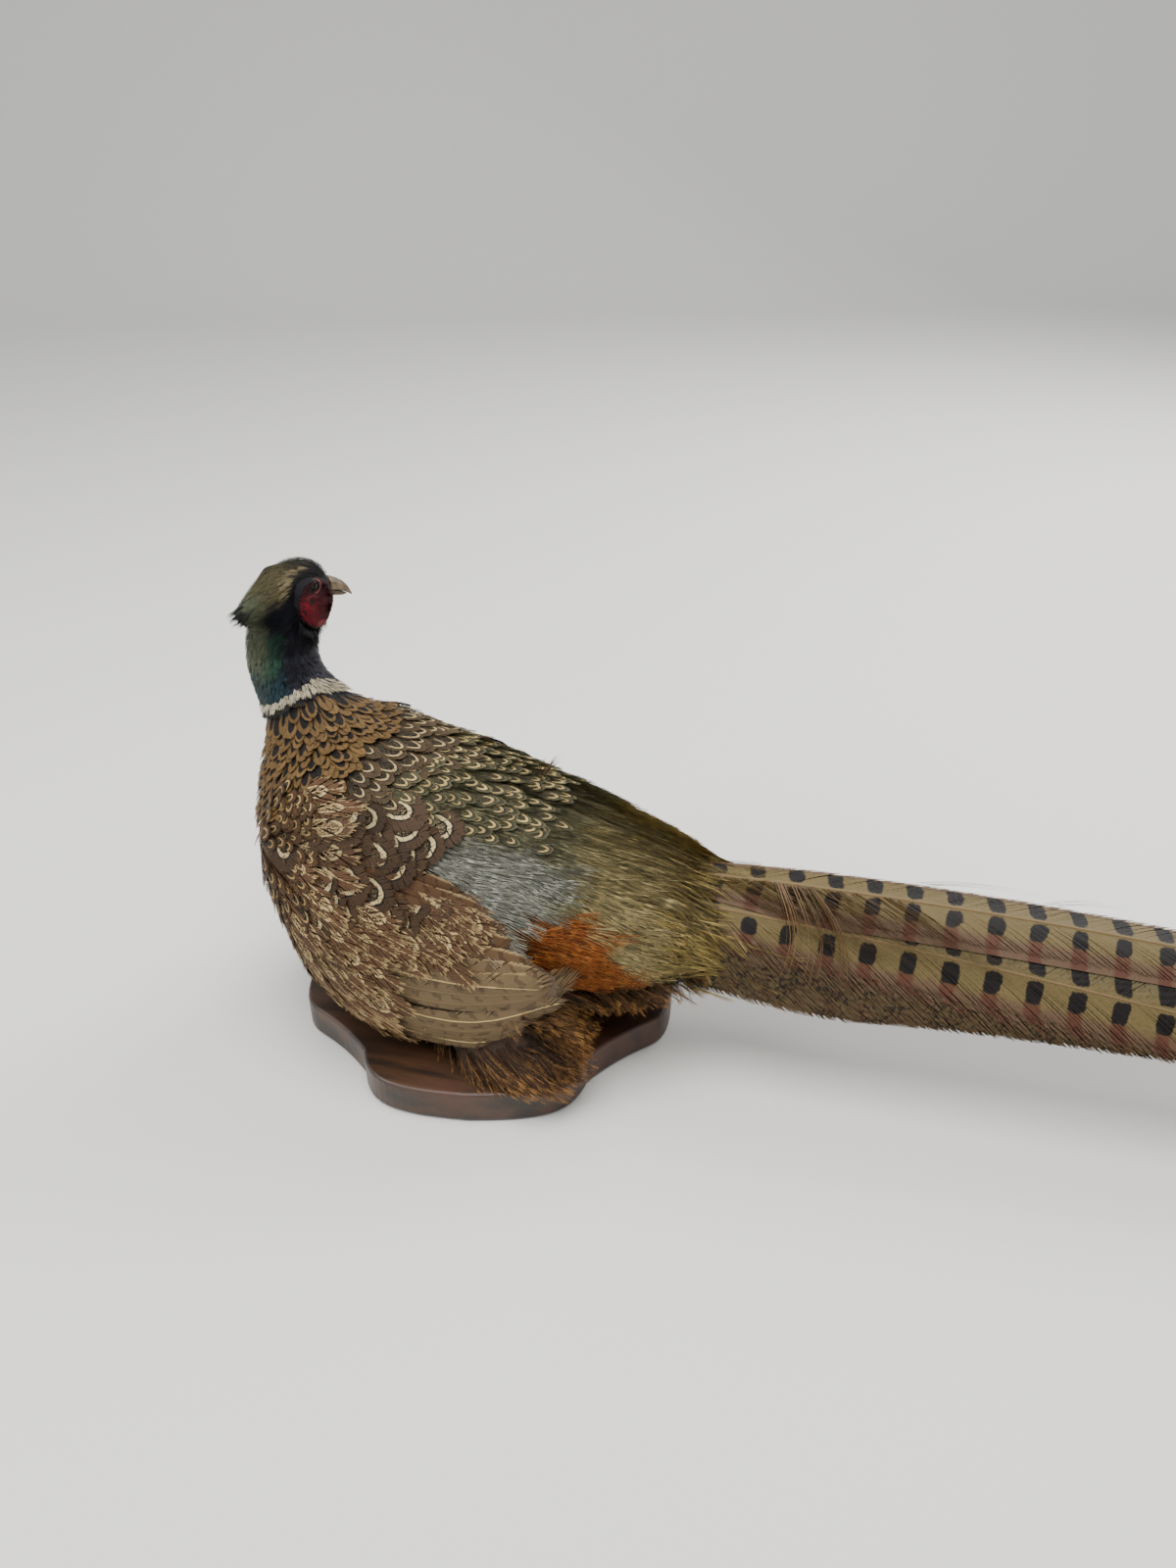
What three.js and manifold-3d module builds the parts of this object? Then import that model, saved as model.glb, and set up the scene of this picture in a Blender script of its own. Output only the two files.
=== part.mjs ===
// A mounted ring-necked pheasant cock at life size, crouched on a lobed wooden board and looking back
// over its right shoulder. Millimetres, +Z up. The origin is the centre of the board's underside, the
// bird faces -X and its tail runs along +X, so its left side is at -Y.
import * as THREE from "three";
import { mergeVertices } from "three/addons/utils/BufferGeometryUtils.js";
import Module from "manifold-3d";

const wasm = await Module();
wasm.setup();

const LEFT = -1;
const RIGHT = 1;
const GAP = 0.3; // clearance between neighbouring pieces
const REACH = 200; // half the side of a block that cuts a solid at a level

// ---- Driving dimensions ----

const BOARD = { halfLength: 113.5, halfWidth: 111, thick: 20, edgeRound: 2, turn: 10.5 };
// A quarter of the board's outline: control points as shares of its half length and half width.
const END_LOBE = [[1, 0.34], [0.95, 0.36], [0.84, 0.44]];
const NOTCH = [[0.68, 0.56], [0.575, 0.7]];
const SIDE_LOBE = [[0.52, 0.92], [0.4, 0.98], [0, 1]];

// Where the bird sits on the board, from the middle of the board's underside.
const SEAT = [-4, 0, 0];

// Trunk with its plumage: [x, top z, bottom z, half width], from the breast to the tail coverts.
const TRUNK = [
  [-134, 122, 106, 6],
  [-127, 151, 84, 31],
  [-107, 180, 58, 51],
  [-78, 193, 43, 65],
  [-40, 182, 36, 73],
  [5, 165, 33, 75],
  [48, 150, 34, 72],
  [84, 136, 39, 64],
  [112, 124, 50, 56],
  [133, 114, 62, 47],
];
const TRUNK_SQUARE = 2.3; // power of its rings: 2 is round, and more is squarer

// Neck: [x, y, z, half width] up its middle, from inside the shoulders to inside the head.
const NECK = [
  [-84, 0, 150, 50],
  [-92, 0, 174, 38],
  [-99.5, 0, 192, 25.5],
  [-108, 1, 208, 20.5],
  [-111.5, 2, 224, 20],
  [-110, 5, 244, 19],
];
const COLLAR_Z = 190; // height at which the neck leaves the shoulders
const NECK_TOP_Z = 233; // height at which the neck meets the head
const NECK_DEEPER = 1.04; // the neck's depth as a share of its width

// The head's own frame has +X to the bill and +Z to the crown. It is turned right and dipped a little.
const HEAD = { at: [-106, 10.5, 258], turn: 64, dip: 10 };
// Skull and cheeks with their feathers in that frame: [x, top z, bottom z, half width], nape first.
const HEAD_FORM = [
  [-36, -5, -9, 2.5],
  [-31, -1, -14, 6.5],
  [-23, 6, -18, 11.5],
  [-12, 14.5, -21, 17],
  [2, 20.5, -22, 18.5],
  [13, 20, -22, 16.5],
  [20, 16, -17.5, 12.5],
  [25, 9.5, -9, 7.5],
];
const NAPE_FILL = 4; // how far below the head's middle the neck's part of it ends
const BILL = { root: 16, bare: 19, depth: 12.5, width: 12, hook: 6.6 };
const BILL_UPPER = { depth: 0.64, width: 1, bare: 1 };
const BILL_LOWER = { depth: 0.36, width: 0.86, bare: 0.8 };
const EYE = { radius: 3.9, forward: 2, out: 16, up: 9.2 };
const WATTLE = { at: [5.5, 15.6, -2], reach: [17, 4, 17.5], turn: 11 };

// Folded wing seen from the side: [x, top z, bottom z, top edge's distance out, bottom edge's, thickness].
const WING = [
  [-114, 140, 128, 47, 51, 3],
  [-105, 155, 100, 52, 62, 12],
  [-84, 163, 64, 60, 78, 19],
  [-50, 159, 42, 68, 90, 18],
  [-14, 137, 35, 73, 93, 13],
  [24, 120, 37, 76, 93, 9],
  [50, 110, 52, 79, 90, 5],
  [70, 93, 70, 81, 87, 2.4],
  [84, 86, 80, 83, 85, 1.2],
];
const WING_BULGE = 9; // how far the wing's middle stands out from its two edges
const FLIGHT_FROM_X = -6; // where the flight feathers leave the coverts

// Flank plumage over the thigh, down to the board: [z, x, distance out, half length, half depth].
const THIGH = [
  [84, 24, 48, 20, 12],
  [76, 27, 54, 34, 20],
  [60, 29, 61, 42, 25],
  [42, 32, 68, 42, 26],
  [28, 35, 75, 36, 23],
  [20.5, 37, 78, 30, 19],
];
const HEEL = [34, 44, 33];
const FOOT = [-26, 40, 26];
const TARSUS = { radius: 4.4, heelRadius: 6.2 };
const TOE = {
  radius: 3.4,
  outer: 40,
  middle: 50,
  inner: 38,
  hind: 17,
  spread: 27,
  middleTurn: 3,
  hindTurn: 168,
  claw: 9,
};
const SPUR = { length: 11, radius: 2.6, from: 0.55, rake: 4, lift: 1 };

// The tail's feathers lie on a roof: its ridge rises and droops as a parabola, and each side bends down
// round an arc and runs on straight. Feathers are placed by their distance round it from its ridge.
const TAIL = {
  pairs: 9,
  from: 133.3,
  ridgeY: 11,
  ridgeTop: 111.5,
  ridgeTopX: 210,
  droop: 0.0002,
  bend: 34,
  fall: 46,
  rootX: 112,
  longest: 488,
  shortest: 150,
  grading: 1.2,
  broadest: 42,
  narrowest: 25,
  rootBreadth: 0.5,
  rootOpening: 3,
  tipFrom: 0.35,
  tipPower: 2.2,
  finestTip: 0.6,
  thick: 0.7,
  layer: 1.5,
  middle: -7,
  firstOut: 17,
  quillPitch: 3.9,
  lastOut: 42,
  tipPitch: 2.6,
};

// ---- Colours ----

const finish = (color, roughness = 0.7, metalness = 0) =>
  new THREE.MeshStandardMaterial({ color, roughness, metalness });
const MATERIAL = {
  board: finish(0x3c2a20, 0.5),
  body: finish(0x7d6a45, 0.75),
  neck: finish(0x141a2a, 0.45),
  head: finish(0x55553f, 0.6),
  wattle: finish(0x7c1424, 0.55),
  bill: finish(0xb9a98c, 0.4),
  eye: finish(0x120a06, 0.1),
  wing: finish(0x86745a, 0.7),
  flight: finish(0xa29478, 0.65),
  flank: finish(0x4a3524, 0.8),
  leg: finish(0x8a8274, 0.55),
  tail: finish(0x94825a, 0.7),
};

// ---- Solids ----

function solidOf(geometry) {
  const bare = geometry.index ? geometry.toNonIndexed() : geometry.clone();
  const places = new THREE.BufferGeometry().setAttribute("position", bare.getAttribute("position"));
  const merged = mergeVertices(places, 1e-4);
  return new wasm.Manifold(
    new wasm.Mesh({
      numProp: 3,
      vertProperties: merged.attributes.position.array,
      triVerts: new Uint32Array(merged.index.array),
    }),
  );
}

function geometryOf(solid) {
  const mesh = solid.getMesh();
  const places = new Float32Array(mesh.numVert * 3);
  for (let i = 0; i < mesh.numVert; i++) {
    places.set(mesh.vertProperties.subarray(i * mesh.numProp, i * mesh.numProp + 3), i * 3);
  }
  const geometry = new THREE.BufferGeometry();
  geometry.setAttribute("position", new THREE.BufferAttribute(places, 3));
  geometry.setIndex(new THREE.BufferAttribute(mesh.triVerts, 1));
  geometry.computeVertexNormals();
  return geometry;
}

// The largest body of a solid, without the slivers that a cut may leave.
function mainBody(solid) {
  return solid.decompose().reduce((best, body) => (body.volume() > best.volume() ? body : best));
}

const pheasant = new THREE.Group();
pheasant.name = "pheasant_mount";

// Adds a solid to the group, moved to where the bird sits unless another place is given.
function add(name, solid, material, place = SEAT) {
  const mesh = new THREE.Mesh(geometryOf(mainBody(solid).translate(place)), material);
  mesh.name = name;
  pheasant.add(mesh);
}

// The row of numbers at share t of the way along the rows of keys, on a smooth curve through them.
function along(keys, t) {
  const last = keys.length - 1;
  const i = Math.min(Math.floor(t * last), last - 1);
  const f = t * last - i;
  const row = (k) => keys[Math.max(0, Math.min(last, k))];
  return keys[i].map((_, c) => {
    const [a, b, d, e] = [row(i - 1)[c], row(i)[c], row(i + 1)[c], row(i + 2)[c]];
    return b + 0.5 * f * (d - a + f * (2 * a - 5 * b + 4 * d - e + f * (3 * (b - d) + e - a)));
  });
}

// A closed solid through rings of points, with its two ends closed by fans.
function loft(rings) {
  const n = rings[0].length;
  const places = [];
  const face = (...corners) => corners.forEach((p) => places.push(p.x, p.y, p.z));
  const middle = (ring) =>
    ring.reduce((sum, p) => sum.add(p), new THREE.Vector3()).divideScalar(ring.length);
  for (let r = 0; r + 1 < rings.length; r++) {
    for (let i = 0; i < n; i++) {
      const j = (i + 1) % n;
      const [a, b, c, d] = [rings[r][i], rings[r][j], rings[r + 1][j], rings[r + 1][i]];
      face(a, b, c);
      face(a, c, d);
    }
  }
  const [first, end] = [rings[0], rings[rings.length - 1]];
  const [start, stop] = [middle(first), middle(end)];
  for (let i = 0; i < n; i++) {
    const j = (i + 1) % n;
    face(first[j], first[i], start);
    face(end[i], end[j], stop);
  }
  const geometry = new THREE.BufferGeometry();
  geometry.setAttribute("position", new THREE.Float32BufferAttribute(places, 3));
  const solid = solidOf(geometry);
  return solid.volume() < 0 ? loft(rings.map((ring) => [...ring].reverse())) : solid;
}

// Cosine and sine bent towards a rounded square as the power grows past 2.
const bent = (value, power) => Math.sign(value) * Math.abs(value) ** (2 / power);

// A ring round a centre: side and up are unit vectors, and above and below its two half heights.
function ring(centre, side, up, halfWidth, above, below, sides = 24, power = 2) {
  return Array.from({ length: sides }, (_, i) => {
    const angle = (i / sides) * 2 * Math.PI;
    const height = Math.sin(angle) > 0 ? above : below;
    return centre
      .clone()
      .addScaledVector(side, halfWidth * bent(Math.cos(angle), power))
      .addScaledVector(up, height * bent(Math.sin(angle), power));
  });
}

// A round tapered limb along a smooth curve: radii go from the first to the last, evenly along it.
function limb(points, radii, steps = 6, sides = 8) {
  const curve = new THREE.CatmullRomCurve3(points.map((p) => new THREE.Vector3(...p)));
  return loft(
    Array.from({ length: steps + 1 }, (_, i) => {
      const t = i / steps;
      const [radius] = along(radii.map((r) => [r]), t);
      const way = curve.getTangent(t);
      const side = new THREE.Vector3(0, 0, 1).cross(way).normalize();
      const up = way.clone().cross(side);
      return ring(curve.getPoint(t), side, up, radius, radius, radius, sides);
    }),
  );
}

const slab = (size, at) => solidOf(new THREE.BoxGeometry(...size).translate(...at));
const cube = [2 * REACH, 2 * REACH, 2 * REACH];
const above = (z) => slab(cube, [0, 0, z + REACH]);
const below = (z) => slab(cube, [0, 0, z - REACH]);
const ahead = (x) => slab(cube, [x - REACH, 0, REACH / 2]);
const behind = (x) => slab(cube, [x + REACH, 0, REACH / 2]);

// ---- Board ----

// One quarter of the outline: half an end lobe, a notch, and half a side lobe. The other three mirror it.
function boardQuarter(divisions = 5) {
  const sized = (points) => points.flatMap(([u, v]) => [u * BOARD.halfLength, v * BOARD.halfWidth]);
  const quarter = new THREE.Path();
  quarter.moveTo(BOARD.halfLength, 0);
  quarter.bezierCurveTo(...sized(END_LOBE));
  quarter.quadraticCurveTo(...sized(NOTCH));
  quarter.bezierCurveTo(...sized(SIDE_LOBE));
  return quarter.getPoints(divisions);
}

function board(nearest = 0.5) {
  const quarter = boardQuarter();
  const flipped = (sx, sy) => quarter.map((p) => new THREE.Vector2(sx * p.x, sy * p.y));
  const outline = [
    ...flipped(1, 1),
    ...flipped(-1, 1).reverse(),
    ...flipped(-1, -1),
    ...flipped(1, -1).reverse(),
  ].filter((p, i, all) => p.distanceTo(all[(i + 1) % all.length]) > nearest);
  const geometry = new THREE.ExtrudeGeometry(new THREE.Shape(outline), {
    depth: BOARD.thick - 2 * BOARD.edgeRound,
    bevelThickness: BOARD.edgeRound,
    bevelSize: BOARD.edgeRound,
    bevelOffset: -BOARD.edgeRound,
    bevelSegments: 1,
  });
  geometry.translate(0, 0, BOARD.edgeRound).rotateZ(THREE.MathUtils.degToRad(BOARD.turn));
  return solidOf(geometry);
}

// ---- Trunk and neck ----

function trunkRing(x, top, bottom, halfWidth, grow) {
  const middle = (top + bottom) / 2;
  return ring(
    new THREE.Vector3(x, 0, middle),
    new THREE.Vector3(0, 1, 0),
    new THREE.Vector3(0, 0, 1),
    halfWidth + grow,
    top - middle + grow,
    middle - bottom + grow,
    24,
    TRUNK_SQUARE,
  );
}

function trunk(grow = 0, steps = 18) {
  return loft(
    Array.from({ length: steps + 1 }, (_, i) => trunkRing(...along(TRUNK, i / steps), grow)),
  );
}

function neck(grow = 0, steps = 10) {
  const middle = new THREE.CatmullRomCurve3(NECK.map(([x, y, z]) => new THREE.Vector3(x, y, z)));
  return loft(
    Array.from({ length: steps + 1 }, (_, i) => {
      const t = i / steps;
      const [, , , halfWidth] = along(NECK, t);
      const way = middle.getTangent(t);
      const side = new THREE.Vector3(0, 1, 0).projectOnPlane(way).normalize();
      const up = side.clone().cross(way);
      const deep = halfWidth * NECK_DEEPER + grow;
      return ring(middle.getPoint(t), side, up, halfWidth + grow, deep, deep, 18);
    }),
  );
}

// ---- Head ----

const headPlace = new THREE.Matrix4().compose(
  new THREE.Vector3(...HEAD.at),
  new THREE.Quaternion().setFromEuler(
    new THREE.Euler(
      0,
      THREE.MathUtils.degToRad(HEAD.dip),
      THREE.MathUtils.degToRad(HEAD.turn),
      "ZYX",
    ),
  ),
  new THREE.Vector3(1, 1, 1),
);
const inHead = (solid) => solid.transform(headPlace.elements);

function headForm(grow = 0, steps = 12) {
  return loft(
    Array.from({ length: steps + 1 }, (_, i) => {
      const [x, top, bottom, halfWidth] = along(HEAD_FORM, i / steps);
      const middle = (top + bottom) / 2;
      return ring(
        new THREE.Vector3(x, 0, middle),
        new THREE.Vector3(0, 1, 0),
        new THREE.Vector3(0, 0, 1),
        halfWidth + grow,
        top - middle + grow,
        middle - bottom + grow,
        16,
      );
    }),
  );
}

// Half of the bill: the upper one arches down to its hooked tip, and the lower one follows under it.
function billHalf(half, steps = 7) {
  const [flat, sharp, seamUp] = [0.02, 0.4, 1];
  const hand = half === BILL_UPPER ? 1 : -1;
  const front = HEAD_FORM[HEAD_FORM.length - 1][0];
  const reach = front - BILL.root + BILL.bare * half.bare;
  const share = reach / (front - BILL.root + BILL.bare);
  return loft(
    Array.from({ length: steps + 1 }, (_, i) => {
      const t = i / steps;
      const taper = Math.sqrt(1 - (0.985 * t) ** 2.6);
      const seam = seamUp - BILL.hook * (share * t) ** 2.4 + (hand * GAP) / 2;
      const high = Math.max(half.depth * BILL.depth * taper, sharp);
      const wide = Math.max((BILL.width / 2) * half.width * taper, sharp);
      return ring(
        new THREE.Vector3(BILL.root + reach * t, 0, seam),
        new THREE.Vector3(0, 1, 0),
        new THREE.Vector3(0, 0, 1),
        wide,
        hand > 0 ? high : flat,
        hand > 0 ? flat : high,
        10,
      );
    }),
  );
}

// The bare red skin round an eye, a low cushion on the cheek.
function wattle(side, grow = 0) {
  const [forward, out, up] = WATTLE.at;
  const cushion = new THREE.SphereGeometry(1, 14, 8)
    .scale(...WATTLE.reach.map((r) => r + grow))
    .rotateZ(THREE.MathUtils.degToRad(side * WATTLE.turn))
    .translate(forward, -side * out, up);
  return solidOf(cushion);
}

const eyeball = (side) => {
  const ball = new THREE.SphereGeometry(EYE.radius, 12, 8);
  return solidOf(ball.translate(EYE.forward, -side * EYE.out, EYE.up));
};

// ---- Wings ----

function wing(side, grow = 0, steps = 16, across = 5) {
  return loft(
    Array.from({ length: steps + 1 }, (_, i) => {
      const [x, top, bottom, topOut, bottomOut, thick] = along(WING, i / steps);
      const end = (i === steps) - (i === 0);
      const place = (share, depth) => {
        const bulge = WING_BULGE * Math.sin(Math.PI * share) * Math.min(1, thick / 8);
        const out = topOut + (bottomOut - topOut) * share + bulge - thick / 2 - depth;
        const edge = (share - 0.5) * 2 * grow;
        return new THREE.Vector3(x + end * grow, side * out, top + (bottom - top) * share - edge);
      };
      const outer = [];
      const inner = [];
      for (let k = 0; k <= across; k++) {
        const share = k / across;
        const half = (thick / 2) * Math.sqrt(Math.sin(Math.PI * (0.04 + 0.92 * share))) + grow;
        outer.push(place(share, -half));
        inner.push(place(share, half));
      }
      return [...outer, ...inner.reverse()];
    }),
  );
}

// ---- Legs ----

const mirrored = (p, side) => [p[0], side * p[1], p[2]];

function thigh(side, grow = 0, steps = 8) {
  return loft(
    Array.from({ length: steps + 1 }, (_, i) => {
      const [z, x, out, long, deep] = along(THIGH, i / steps);
      const spread = new THREE.Vector3(0, side, 0);
      const forward = new THREE.Vector3(1, 0, 0);
      const level = z + (2 * (i === 0) - (i === steps)) * grow;
      const middle = new THREE.Vector3(x, side * out, level);
      return ring(middle, forward, spread, long + grow, deep + grow, deep + grow, 18);
    }),
  );
}

function tarsus(side) {
  const [heel, foot] = [mirrored(HEEL, side), mirrored(FOOT, side)];
  const middle = heel.map((v, i) => (v + foot[i]) / 2);
  const shank = limb(
    [heel, middle, foot],
    [TARSUS.heelRadius, TARSUS.radius, TARSUS.radius, TARSUS.radius * 1.15],
  );
  const spurRoot = heel.map((v, i) => v + (foot[i] - v) * SPUR.from);
  const [spurX, spurY, spurZ] = spurRoot;
  const spurTip = [spurX + SPUR.rake, spurY - side * SPUR.length, spurZ + SPUR.lift];
  return shank.add(limb([spurRoot, spurTip], [SPUR.radius, SPUR.radius * 0.7, 0.3], 5));
}

// A toe that arches over the board and ends in a claw that touches it.
function toe(side, length, angle) {
  const lean = THREE.MathUtils.degToRad(angle);
  const point = (reach, height) => [
    FOOT[0] - reach * Math.cos(lean),
    side * (FOOT[1] + reach * Math.sin(lean)),
    BOARD.thick + height,
  ];
  const r = TOE.radius;
  const path = [
    point(0, r + 2.6),
    point(length * 0.35, r + 3),
    point(length * 0.75, r + 0.6),
    point(length, r + 0.5),
    point(length + TOE.claw * 0.6, r - 0.2),
    point(length + TOE.claw, 0.9),
  ];
  return limb(path, [r * 1.15, r, r * 0.92, r * 0.8, r * 0.5, 0.35], 8, 6);
}

function foot(side) {
  const toes = [
    toe(side, TOE.middle, TOE.middleTurn),
    toe(side, TOE.outer, TOE.spread),
    toe(side, TOE.inner, -TOE.spread),
    toe(side, TOE.hind, TOE.hindTurn),
  ];
  return toes.reduce((all, one) => all.add(one));
}

// ---- Tail ----

// A point of the tail's roof: out is the distance round it from the ridge, and depth how far below it.
function roofPoint(x, out, depth) {
  const fall = THREE.MathUtils.degToRad(TAIL.fall);
  const radius = TAIL.bend / fall;
  const turned = Math.min(Math.abs(out), TAIL.bend) / radius;
  const straight = Math.max(0, Math.abs(out) - TAIL.bend);
  const y = radius * Math.sin(turned) + straight * Math.cos(fall) - depth * Math.sin(turned);
  const down = radius * (1 - Math.cos(turned)) + straight * Math.sin(fall) + depth * Math.cos(turned);
  const ridge = TAIL.ridgeTop - TAIL.droop * (x - TAIL.ridgeTopX) ** 2;
  return new THREE.Vector3(x, TAIL.ridgeY + Math.sign(out) * y, ridge - down);
}

// The central feather of the right side rides on the ridge, on top of all the others.
function tailFeather(side, pair, steps = 6) {
  const order = pair - 1;
  const share = order / (TAIL.pairs - 1);
  const onRidge = side === RIGHT && pair === 1;
  const length = TAIL.shortest + (TAIL.longest - TAIL.shortest) * (1 - share) ** TAIL.grading;
  const broad = TAIL.broadest + (TAIL.narrowest - TAIL.broadest) * share;
  const from = onRidge ? 2 : TAIL.firstOut + TAIL.quillPitch * order;
  const to = onRidge ? 0 : TAIL.lastOut + TAIL.tipPitch * order;
  const start = (TAIL.from - TAIL.rootX) / length;
  return loft(
    Array.from({ length: steps + 1 }, (_, i) => {
      const t = start + (1 - start) * (i / steps);
      const shaft = from + (to - from) * Math.sin((t * Math.PI) / 2);
      const opening = Math.min(1, TAIL.rootBreadth + TAIL.rootOpening * t);
      const toTip = Math.max(0, (t - TAIL.tipFrom) / (1 - TAIL.tipFrom));
      const point = Math.sqrt(Math.max(0, 1 - toTip ** TAIL.tipPower));
      const half = Math.max((broad / 2) * opening * point, TAIL.finestTip);
      const depth = (order + (onRidge ? 0 : 1)) * TAIL.layer;
      const x = TAIL.rootX + length * t;
      const across = [-1, -0.5, 0, 0.5, 1];
      const out = (s) => TAIL.middle + side * (shaft + s * half);
      const upper = across.map((s) => roofPoint(x, out(s), depth - TAIL.thick / 2));
      const lower = across.map((s) => roofPoint(x, out(s), depth + TAIL.thick / 2));
      return [...upper, ...lower.reverse()];
    }),
  );
}

// ---- Assembly ----

add("base_board", board(), MATERIAL.board, [0, 0, 0]);

const aboveBoard = above(BOARD.thick + GAP);
const wholeTrunk = trunk();
const wings = { [LEFT]: wing(LEFT), [RIGHT]: wing(RIGHT) };
const grownWings = wing(LEFT, GAP).add(wing(RIGHT, GAP));

const shoulders = below(COLLAR_Z);
const throat = below(NECK_TOP_Z).subtract(below(COLLAR_Z + GAP));
const wholeNeck = neck();
const trunkBody = wholeTrunk
  .add(wholeNeck.intersect(shoulders))
  .subtract(wholeNeck.subtract(shoulders))
  .subtract(grownWings);
add("trunk", trunkBody, MATERIAL.body);

const nape = above(NECK_TOP_Z).intersect(below(HEAD.at[2] - NAPE_FILL));
const headAndNape = (grow) => inHead(headForm(grow)).add(neck(grow).intersect(nape));
const grownTrunk = trunk(GAP);
const bareNeck = wholeNeck.intersect(throat).subtract(inHead(headForm(GAP))).subtract(grownTrunk);
add("neck", bareNeck, MATERIAL.neck);

const grownHead = headAndNape(GAP);
add("head", headAndNape(0), MATERIAL.head);
add("bill_upper", inHead(billHalf(BILL_UPPER)).subtract(grownHead), MATERIAL.bill);
add("bill_lower", inHead(billHalf(BILL_LOWER)).subtract(grownHead), MATERIAL.bill);

for (const side of [LEFT, RIGHT]) {
  const word = side === LEFT ? "left" : "right";
  const behindEye = grownHead.add(inHead(wattle(side, GAP)));
  add(`wattle_${word}`, inHead(wattle(side)).subtract(grownHead), MATERIAL.wattle);
  add(`eye_${word}`, inHead(eyeball(side)).subtract(behindEye), MATERIAL.eye);

  add(`wing_${word}`, wings[side].intersect(ahead(FLIGHT_FROM_X)), MATERIAL.wing);
  add(`wing_${word}_flight`, wings[side].intersect(behind(FLIGHT_FROM_X + GAP)), MATERIAL.flight);

  const flank = thigh(side).intersect(aboveBoard).subtract(grownTrunk).subtract(grownWings);
  add(`thigh_${word}`, flank, MATERIAL.flank);
  const grownThigh = thigh(side, GAP);
  add(`tarsus_${word}`, tarsus(side).subtract(grownThigh).subtract(grownTrunk), MATERIAL.leg);
  add(`foot_${word}`, foot(side).subtract(tarsus(side)), MATERIAL.leg);
}

for (const side of [LEFT, RIGHT]) {
  const word = side === LEFT ? "left" : "right";
  for (let pair = 1; pair <= TAIL.pairs; pair++) {
    add(`tail_feather_${word}_${pair}`, tailFeather(side, pair), MATERIAL.tail);
  }
}

export default pheasant;
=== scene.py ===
# %% [markdown]
# # A mounted cock pheasant on a scalloped board
# The bird stands on its board with its head turned back over its right shoulder and its long tail
# held out behind. The solids of the part give its form and its reach. Over them come one smooth skin,
# a coat of many small feathers that lie over each other like tiles, and the bare parts: bill, eyes,
# wattles, feet and claws.

# %% Loading the frame
import math
import bmesh
import bpy
import numpy as np
from mathutils import Matrix, Vector, noise
from mathutils.bvhtree import BVHTree


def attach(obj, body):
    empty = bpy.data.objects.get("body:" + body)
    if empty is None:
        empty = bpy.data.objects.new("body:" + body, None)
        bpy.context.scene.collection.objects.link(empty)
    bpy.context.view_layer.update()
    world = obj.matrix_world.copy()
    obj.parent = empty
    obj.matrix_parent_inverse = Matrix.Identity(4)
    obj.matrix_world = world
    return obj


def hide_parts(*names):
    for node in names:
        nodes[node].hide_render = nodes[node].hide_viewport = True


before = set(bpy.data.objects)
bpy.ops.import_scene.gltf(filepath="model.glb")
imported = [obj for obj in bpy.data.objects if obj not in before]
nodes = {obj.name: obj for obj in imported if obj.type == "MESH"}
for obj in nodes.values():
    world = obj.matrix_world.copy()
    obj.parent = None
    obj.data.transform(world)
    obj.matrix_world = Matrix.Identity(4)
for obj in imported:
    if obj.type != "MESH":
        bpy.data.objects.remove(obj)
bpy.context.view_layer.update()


def rounded(values):
    """Numbers of metres to the nearest millimetre, for printing."""
    return [round(value, 3) for value in values]


# %% [markdown]
# ## Sizes and chance
# The bird was drawn in millimetres from the middle of its body, and then moved 4 mm forward over the
# board. The same shift is kept here as one number, so that a drawn place turns into a real one with
# one call. Every random choice comes from seeded generators, so each run makes the same bird.

# %% Units and chance
MM = 0.001
SEAT = np.array([-0.004, 0.0, 0.0])


def place(x, y, z):
    """A drawn point in millimetres as a point of the row frame in metres."""
    return np.array([x, y, z], float) * MM + SEAT


def chance(name):
    """A seeded random generator of its own for each piece."""
    return np.random.default_rng(sum(ord(letter) * (7 + at) for at, letter in enumerate(name)))


def unit(vectors):
    return vectors / np.maximum(np.linalg.norm(vectors, axis=-1, keepdims=True), 1e-9)


def smooth(value, low, high):
    """0 below low, 1 above high, and a soft step between them."""
    share = np.clip((np.asarray(value, float) - low) / (high - low), 0, 1)
    return share * share * (3 - 2 * share)


def tone(red, green, blue):
    """A paint tone from 0 to 255 as the linear colour that Blender works in."""
    share = np.array([red, green, blue], float) / 255
    return np.where(share <= 0.04045, share / 12.92, ((share + 0.055) / 1.055) ** 2.4)


BLACK = tone(24, 20, 17)
print("black is", np.round(BLACK, 4))

# %% [markdown]
# ## Shader sums
# Most finishes are sums of masks. One small class wraps a socket, so that such a sum is written as a
# line of Python, and each operator adds its Math node. Colours go through Mix nodes, because a Math
# node would turn them grey.


# %% A socket that can be added and multiplied
class Signal:
    """One output socket of a material, with the operators that its sums need."""

    def __init__(self, finish, socket):
        self.finish = finish
        self.socket = socket

    def math(self, operation, *others):
        return self.finish.node("ShaderNodeMath", {"operation": operation}, self, *others)

    def __add__(self, other):
        return self.math("ADD", other)

    def __radd__(self, other):
        return self.math("ADD", other)

    def __sub__(self, other):
        return self.math("SUBTRACT", other)

    def __rsub__(self, other):
        return self.finish.node("ShaderNodeMath", {"operation": "SUBTRACT"}, other, self)

    def __mul__(self, other):
        return self.math("MULTIPLY", other)

    def __rmul__(self, other):
        return self.math("MULTIPLY", other)

    def __truediv__(self, other):
        return self.math("DIVIDE", other)

    def __pow__(self, other):
        return self.math("POWER", other)

    def __abs__(self):
        return self.math("ABSOLUTE")

    def step(self, low, high):
        """A soft step from 0 at low to 1 at high."""
        return self.finish.node("ShaderNodeMapRange", {"interpolation_type": "SMOOTHSTEP"}, self, low, high)


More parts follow.
